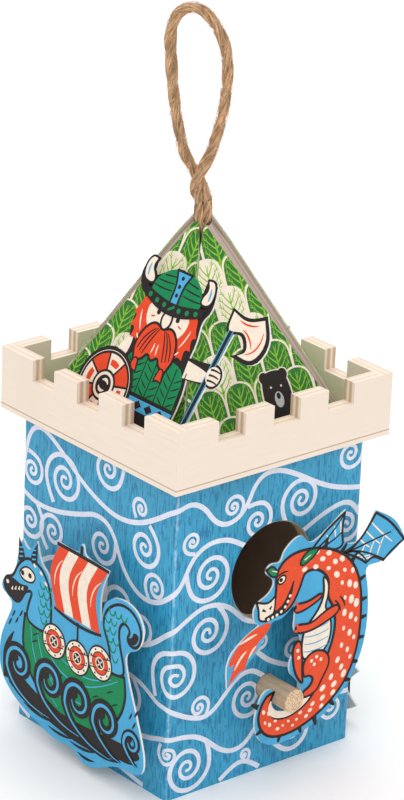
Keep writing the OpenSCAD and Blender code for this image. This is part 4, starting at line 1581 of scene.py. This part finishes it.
def warrior_clothes(sheet):
    """Trousers, scaled tunic and belt, and the arms."""
    ink = colours()
    trousers = [(4, 12), (5, 5), (15, 4), (17, 8), (19, 4.6), (27, 9), (30, 16)]
    sheet.patch(darker(ink.black, 0.9), 1, trousers)
    tunic = [
        (-1.6, 20), (-1.2, 32), (5, 36), (20, 36), (29.4, 34), (30.6, 20), (30.6, 20), (-1.6, 20),
    ]
    sheet.patch(ink.green, 2, tunic)
    for column in range(6):
        x = 1.6 + 5.2 * column
        way = 1 if column % 2 else -1
        sheet.stroke(ink.black, 3, (0.5, 0.5), [(x + 2.6, 19), (x + 2.4, 34)])
        scales = [
            [(x - 1.9 * way, y), (x, y + 0.9), (x + 1.9 * way, y + 2.4)] for y in (20, 23, 26, 29)
        ]
        sheet.stroke(ink.black, 3, (0.2, 0.9, 0.2), *scales)
    sheet.patch(ink.sky, 2, sharp((6, 18.6), (30.8, 18.6), (30, 14.4), (8, 14.4)))
    sheet.patch(ink.black, 3, *(
        sharp((x, 14.8), (x + 2.2, 16.5), (x, 18.2), (x - 2.2, 16.5)) for x in (13, 19, 25)
    ))

    far_arm = [(28.4, 38.4), (28.4, 38.4), (41, 37.4), (41, 33.6), (28.6, 32), (28.6, 32)]
    sheet.patch(ink.cream, 2, far_arm)
    sheet.patch(ink.cream, 4, ring(42.5, 37, 3.5))
    fingers = [[(40.4, y), (43, y + 0.5), (45.4, y)] for y in (35, 37, 39)]
    sheet.stroke(ink.black, 5, (0.8, 0.5), *fingers)
    sheet.patch(ink.cream, 2, [(-8, 31.8), (-3.4, 38.4), (-1.6, 38.4), (-1.6, 31.4), (-4, 30)])


def warrior_face(sheet):
    """Red hair, a plain face, and a full red beard with two braids."""
    ink = colours()
    hair = [
        (-3.6, 53.6), (-4.6, 49), (-6.2, 46.4), (-6.2, 46.4), (-4, 45.6), (-5.6, 41.4),
        (-5.6, 41.4), (-2.8, 41.4), (-3.4, 37.2), (-3.4, 37.2), (-0.4, 38.2), (1.6, 33.6),
        (1.6, 33.6), (4, 38), (4.4, 44), (1.4, 53.4),
    ]
    sheet.patch(ink.red, 4, hair, mirrored(hair, WARRIOR_MIDDLE))
    face = [(0.4, 54), (-0.4, 47), (4, 41.6), (17.6, 41.6), (22, 47), (21.2, 54)]
    sheet.patch(ink.cream, 5, face)
    sheet.dots(ink.black, 6, 1.0, (5.6, 49.6), (16, 49.6))
    cheeks = [(2.4, 47.2), (4.6, 47.8)], [(17, 47.8), (19.2, 47.2)]
    sheet.stroke(ink.red, 6, (0.3, 0.9, 0.3), *cheeks)
    beard = [
        (2, 43), (6.4, 46.4), (10.8, 44.2), (15.2, 46.4), (19.6, 43), (21.8, 36), (19.4, 30.6),
        (19.4, 30.6), (15.4, 31.6), (13.6, 35), (10.8, 32), (8, 35), (6.2, 31.6), (2.2, 30.6),
        (2.2, 30.6), (-0.2, 36),
    ]
    sheet.shape(ink.red, 7, 1.0, beard)
    strands = []
    for way in (-1, 1):
        for i in (0.4, 1.5, 2.6):
            strands.append([
                (WARRIOR_MIDDLE + way * (0.8 + i * 0.9), 44.6 - 0.2 * i),
                (WARRIOR_MIDDLE + way * (3 + 1.9 * i), 40),
                (WARRIOR_MIDDLE + way * (5 + 1.4 * i), 33.4 + 0.6 * i),
            ])
    sheet.stroke(ink.black, 9, (0.3, 0.8, 0.4), *strands)
    sheet.stroke(ink.cream, 9, (0.2, 0.9, 0.2), [(9.8, 39), (10, 37), (9.4, 35)],
                 [(11.8, 39), (11.6, 37), (12.2, 35)])
    for x in (3.6, 17.8):
        braid = [(x - 1.2, 31.6), (x - 1.6, 28.4), (x - 2.2, 26.6), (x, 27.4), (x + 2.2, 26.6),
                 (x + 1.6, 28.4), (x + 1.2, 31.6)]
        sheet.shape(ink.red, 8, 0.6, braid)
    nose = [(8.6, 51), (8, 46.6), (10.8, 43.8), (13.6, 46.6), (13, 51)]
    sheet.shape(ink.cream, 10, 0.9, nose)
    sheet.stroke(ink.cream, 9, (0.2, 1.0, 0.2), [(-2.6, 48), (-2, 44.6), (0, 41)],
                 [(24.2, 48), (23.6, 44.6), (21.6, 41)], [(-0.8, 39.6), (0.6, 38)],
                 [(22.4, 39.6), (21, 38)])


def warrior_helmet(sheet):
    """A green dome with a blue band, a studded shaggy rim, fur tufts and two horns."""
    ink = colours()
    dome = [
        (-2.6, 54.8), (-2.6, 54.8), (-1.6, 61), (4, 65.6), (10.8, 66.8), (17.6, 65.6), (23.2, 61),
        (24.2, 54.8), (24.2, 54.8), (10.8, 52.2),
    ]
    sheet.patch(ink.green, 11, dome)
    for way in (-1, 1):
        lines = [
            [
                (WARRIOR_MIDDLE + way * 3, 55.6 + 2.6 * i),
                (WARRIOR_MIDDLE + way * 8, 55 + 2.6 * i),
                (WARRIOR_MIDDLE + way * (13.2 - 0.45 * i * i), 56 + 2.2 * i),
            ]
            for i in (1, 2, 3)
        ]
        sheet.stroke(ink.black, 12, (0.4, 0.8, 0.4), *lines)
    band = [
        (6.8, 66), (6.8, 66), (14.8, 66), (14.8, 66), (12.6, 61), (12.8, 54), (12.8, 54), (8.8, 54),
        (8.8, 54), (9, 61),
    ]
    sheet.shape(ink.sky, 13, 0.9, band)
    sheet.dots(ink.black, 15, 0.75, (10.8, 63.8), (10.6, 60.6), (10.8, 57.4))
    rim = [(-5, 55.4), (2, 53), (10.8, 51.8), (19.6, 53), (26.6, 55.4)]
    sheet.stroke(ink.black, 15, (3.0, 4.4, 4.6, 4.4, 3.0), rim)
    studs = [(-1.6, 54.2), (2.6, 53.2), (6.8, 52.7), (14.8, 52.7), (19, 53.2), (23.2, 54.2)]
    sheet.dots(ink.green, 16, 0.95, *studs)
    sheet.stroke(ink.green, 16, (1.0, 1.0), [(9.4, 51.6), (12.2, 53.4)])
    tuft = [
        [(-3, 57), (-3 + a, 57 + b)]
        for a, b in ((-2.6, 1.4), (-3.2, -0.4), (-2.6, -2), (-1, -2.8), (-1.4, 2.6))
    ]
    other_tuft = [mirrored(line, WARRIOR_MIDDLE) for line in tuft]
    sheet.stroke(ink.black, 11, (2.4, 0.4), *tuft, *other_tuft)
    for horn, glint in (
        ([(-2.6, 57.6), (-8.2, 58.4), (-9.6, 63.6), (-7.6, 67.6), (-4.2, 67), (-4.2, 67),
          (-5.6, 63.6), (-2.2, 60.6)], [(-6.4, 60), (-7.4, 62.2), (-6.8, 64.6)]),
        ([(23.6, 57.6), (28.4, 58.4), (28.8, 63.6), (26.6, 67.6), (22.8, 67), (22.8, 67),
          (25, 63.6), (23, 60.6)], [(26.6, 60), (26.8, 62.2), (26, 64.6)]),
    ):
        sheet.shape(ink.cream, 12, 0.8, horn)
        sheet.stroke(ink.sky, 14, (0.4, 1.2, 0.3), glint)


def warrior_axe(sheet):
    """A broad axe with red lines on its blade."""
    ink = colours()
    sheet.stroke(ink.sky, 2, (2.5, 2.5), [(37.4, 15), (42.6, 57)])
    sheet.stroke(ink.black, 3, (1.6, 1.6), [(37.4, 15), (42.6, 57)])
    blade = [
        (40.2, 54.2), (40.2, 60.8), (40.2, 60.8), (48, 58.8), (55.6, 62.2), (55.6, 62.2),
        (60.8, 55), (57.4, 46.8), (49.4, 47.2), (49.4, 47.2), (53.6, 49.8), (49, 55.8),
        (43.4, 54.2),
    ]
    sheet.patch(ink.cream, 4, blade)
    sheet.stroke(ink.red, 5, (0.3, 1.2, 0.2), [(44.6, 58.8), (49, 57.6), (54, 59.6)],
                 [(57.4, 58), (58.8, 51), (52.4, 48.4)], [(47.6, 56.2), (52.4, 55), (54.4, 51.2)])


def warrior_shield(sheet):
    """A large round shield: eight fields, four full red and four with a red bar, and a boss."""
    ink = colours()
    x, y = -6.5, 17.6  # its middle
    sheet.patch(ink.black, 11, ring(x, y, 14.2, 12))
    sheet.patch(ink.cream, 12, ring(x, y, 12.9, 12))
    for i in range(8):
        start = 45 * i + 12
        if i % 2 == 0:
            sheet.patch(ink.red, 13, pie(x, y, 5.6, 11.9, start, start + 45))
        else:
            sheet.patch(ink.red, 13, pie(x, y, 7.6, 9.6, start + 8, start + 37))
        spoke = [polar(x, y, 5, start), polar(x, y, 12, start)]
        sheet.stroke(ink.black, 14, (0.8, 0.8), spoke)
    sheet.stroke(ink.black, 14, (0.9,), ring(x, y, 12.2, 12), closed=True)
    sheet.patch(ink.black, 15, ring(x, y, 5.8))
    sheet.patch(ink.cream, 16, ring(x, y, 4.9))
    sheet.patch(ink.black, 17, ring(x, y, 3.8))
    sheet.stroke(ink.cream, 18, (0.4, 1.3, 0.3), spiral(x, y, 2.3, 2.1, 20, 0.3, 14),
                 spiral(x, y, 2.3, 2.1, 200, 0.3, 14))


# Middle of the serpent's body, from the waves to its head
SERPENT_SPINE = [
    (-28, 8), (-27, 24), (-20, 37), (-8, 42), (4, 38), (9, 28), (16, 26), (22, 34), (20, 48),
    (18, 62), (22, 71), (34, 71),
]


def draw_serpent(sheet):
    """A green sea serpent with fins, rising out of the waves."""
    ink = colours()
    fins = [
        [(-24, 12), (-30, 11.4), (-36.4, 8), (-36.4, 8), (-31, 5), (-24, 4)],
        [(-27, 26), (-31, 24), (-36.4, 21.4), (-36.4, 21.4), (-32, 17.4), (-26, 16)],
    ]
    sheet.shape(ink.sky, 1, 0.8, *fins)
    sheet.stroke(ink.black, 6, (10.4, 13.4, 13, 11.4, 9), SERPENT_SPINE)
    sheet.stroke(ink.green, 7, (9, 11.6, 11.2, 9.6, 7.4), SERPENT_SPINE)
    belly = []
    for i in range(12):
        point, (nx, ny) = along(SERPENT_SPINE, 0.04 + 0.8 * i / 11)
        belly.append((point[0] - nx * 3, point[1] - ny * 3))
    sheet.stroke(ink.cream, 8, (2.4, 3.4, 3.2, 2.4), belly)
    for i in range(24):
        (x, y), (nx, ny) = along(SERPENT_SPINE, 0.05 + 0.82 * i / 23)
        radius, away = (0.9, 1.6 + 1.7) if i % 2 else (0.7, 1.6)
        sheet.dots(ink.lime, 8, radius, (x + nx * away, y + ny * away))
    sheet.patch(ink.green, 8, ring(33, 71.4, 5.4, squash=0.78))
    sheet.shape(ink.cream, 9, 0.7, ring(30.6, 73, 1.9))
    sheet.dots(ink.black, 11, 0.8, (31, 73))
    sheet.stroke(ink.black, 9, (0.5, 1.0, 0.4), [(38.4, 69.6), (34.6, 68.4), (31.4, 69.4)])
    sheet.shape(ink.red, 2, 0.8, [(22, 75), (24.4, 80), (26, 83), (28, 79), (29, 75)])
    sea = [(-36, 4), (-24, 12), (0, 8), (20, 12), (37, 8), (31, 2.4), (-24, 2.4)]
    sheet.patch(ink.black, 10, sea)
    for x, y, radius in ((-20, 8, 6), (-4, 10, 6.6), (12, 9, 6), (27, 10, 6.4)):
        wave = spiral(x, y, radius, radius * 0.2, 262, -1.3, 14)
        light = spiral(x, y, radius, radius * 0.3, 240, -1.1, 14)
        sheet.stroke(ink.black, 12, (3.4, 3.4, 2.4, 1.4), wave)
        sheet.stroke(ink.sky, 13, (0.5, 1.1, 0.8, 0.3), light)


class FigureOperator(bpy.types.Operator):
    """Prints the card figures: two ships, a dragon, a sea serpent and a warrior"""

    bl_idname = "nest_box.figures"
    bl_label = "Card figures"

    def execute(self, context):
        sky = colours().sky
        # Card, design, side, colour of the bare card, and a shift to the right and upwards
        for node, draw, turn, ground, shift in (
            ("ship_cutout", draw_ship, LEFT, sky, (1, 0)),
            ("dragon_cutout", draw_dragon, FRONT, sky, (0, 0)),
            # The serpent's card gets a greyed copy of the sky blue: painted shade
            ("serpent_cutout", draw_serpent, RIGHT, linear("8FB3CC"), (0, 0)),
            ("rear_ship_cutout", draw_ship, REAR, sky, (-4.5, -2)),
            ("viking_cutout", draw_warrior, LEFT, colours().black, (0, 0)),
        ):
            slope = slope_of("roof_print_left", LEFT) if node == "viking_cutout" else 0.0
            face = face_of(turn, node, slope)
            cover(node, printed_card("card_" + node, tuple(face.col[2][:3]), ground))
            sheet = Print(sizes().ink)
            draw(sheet)
            whole = sheet.press(node)
            put(whole, face @ Matrix.Translation((shift[0] * MM, shift[1] * MM, 0)))
            finish_piece(whole, node.replace("cutout", "artwork"), "house", "card")
        return {"FINISHED"}


class PadOperator(bpy.types.Operator):
    """Cuts the foam pads that hold the figures off the faces"""

    bl_idname = "nest_box.foam_pads"
    bl_label = "Foam pads"

    def execute(self, context):
        node = frame["nodes"]["foam_pads"]
        select_only(node)
        bpy.ops.object.duplicate()
        copy = bpy.context.view_layer.objects.active
        copy.parent = None
        for key in list(copy.keys()):
            if key.startswith("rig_"):
                del copy[key]
        close_up(copy, 10 * CLOSE)
        edit_all(copy, (bpy.ops.mesh.dissolve_limited, {"angle_limit": math.radians(3)}))
        # Soft foam has slightly rounded edges
        edit_all(copy, (bpy.ops.mesh.bevel, {"offset": 0.35 * MM, "segments": 2}))
        edit_all(copy, (bpy.ops.mesh.normals_make_consistent, {"inside": False}))
        copy.data.materials.clear()
        copy.data.materials.append(foam_tape())
        finish_piece(copy, "foam_tape_pads", "house", "foam", "foam_pads")
        return {"FINISHED"}


class StageOperator(bpy.types.Operator):
    """Sets up a pale floor, soft studio lights and an even white surround"""

    bl_idname = "nest_box.stage"
    bl_label = "Stage"

    def execute(self, context):
        bpy.ops.object.select_all(action="DESELECT")
        bpy.ops.mesh.primitive_plane_add(size=30, location=(0, 0, 0))
        floor = context.view_layer.objects.active
        floor.name = "studio_floor"
        material, tree = new_material("white_paper_sweep")
        shader = add(
            tree, "ShaderNodeBsdfPrincipled",
            {"Base Color": linear("FBFBFB"), "Roughness": 0.95, "Specular IOR Level": 0.1},
        )
        add(tree, "ShaderNodeOutputMaterial", {"Surface": shader.outputs[0]})
        floor.data.materials.append(material)

        world = bpy.data.worlds.new("studio")
        context.scene.world = world
        world.use_nodes = True
        background = world.node_tree.nodes["Background"]
        background.inputs["Color"].default_value = linear("FFFFFF")
        background.inputs["Strength"].default_value = 0.75
        # Name, place and size in metres, and power in watts
        for name, place, size, power in (
            ("key", (-1.15, -1.0, 1.5), 1.0, 10),
            ("fill", (1.5, -0.9, 0.8), 1.4, 4),
            ("top", (0.2, 0.5, 1.9), 1.4, 14),
        ):
            data = bpy.data.lights.new(name, "AREA")
            data.size = size
            data.energy = power
            lamp = bpy.data.objects.new(name, data)
            lamp.location = place
            aim = Vector((0, 0, 0.12)) - Vector(place)
            lamp.rotation_mode = "QUATERNION"
            lamp.rotation_quaternion = aim.to_track_quat("-Z", "Y")
            context.scene.collection.objects.link(lamp)
        context.scene.view_settings.view_transform = "Standard"
        return {"FINISHED"}


class NestBoxPanel(bpy.types.Panel):
    """Lists the nest box's sizes, colours and building steps"""

    bl_idname = "VIEW3D_PT_nest_box"
    bl_label = "Castle Nest Box"
    bl_space_type = "VIEW_3D"
    bl_region_type = "UI"
    bl_category = "Nest Box"

    def draw(self, context):
        layout = self.layout
        for group in (sizes(), colours()):
            for name in group.__annotations__:
                layout.prop(group, name)
        for operator in OPERATORS:
            layout.operator(operator.bl_idname)


OPERATORS = (
    CameraOperator, CordOperator, TimberOperator, WallOperator, RoofOperator, FigureOperator,
    PadOperator, StageOperator,
)
CLASSES = (NestBoxSizes, NestBoxColours) + OPERATORS + (NestBoxPanel,)


def register():
    for cls in CLASSES:
        bpy.utils.register_class(cls)
    bpy.types.Scene.nest_box_sizes = bpy.props.PointerProperty(type=NestBoxSizes)
    bpy.types.Scene.nest_box_colours = bpy.props.PointerProperty(type=NestBoxColours)


def unregister():
    del bpy.types.Scene.nest_box_colours
    del bpy.types.Scene.nest_box_sizes
    for cls in reversed(CLASSES):
        bpy.utils.unregister_class(cls)


def main():
    register()
    for operator in OPERATORS:
        group, name = operator.bl_idname.split(".")
        getattr(getattr(bpy.ops, group), name)()
    bpy.context.view_layer.update()


if __name__ == "__main__":
    main()
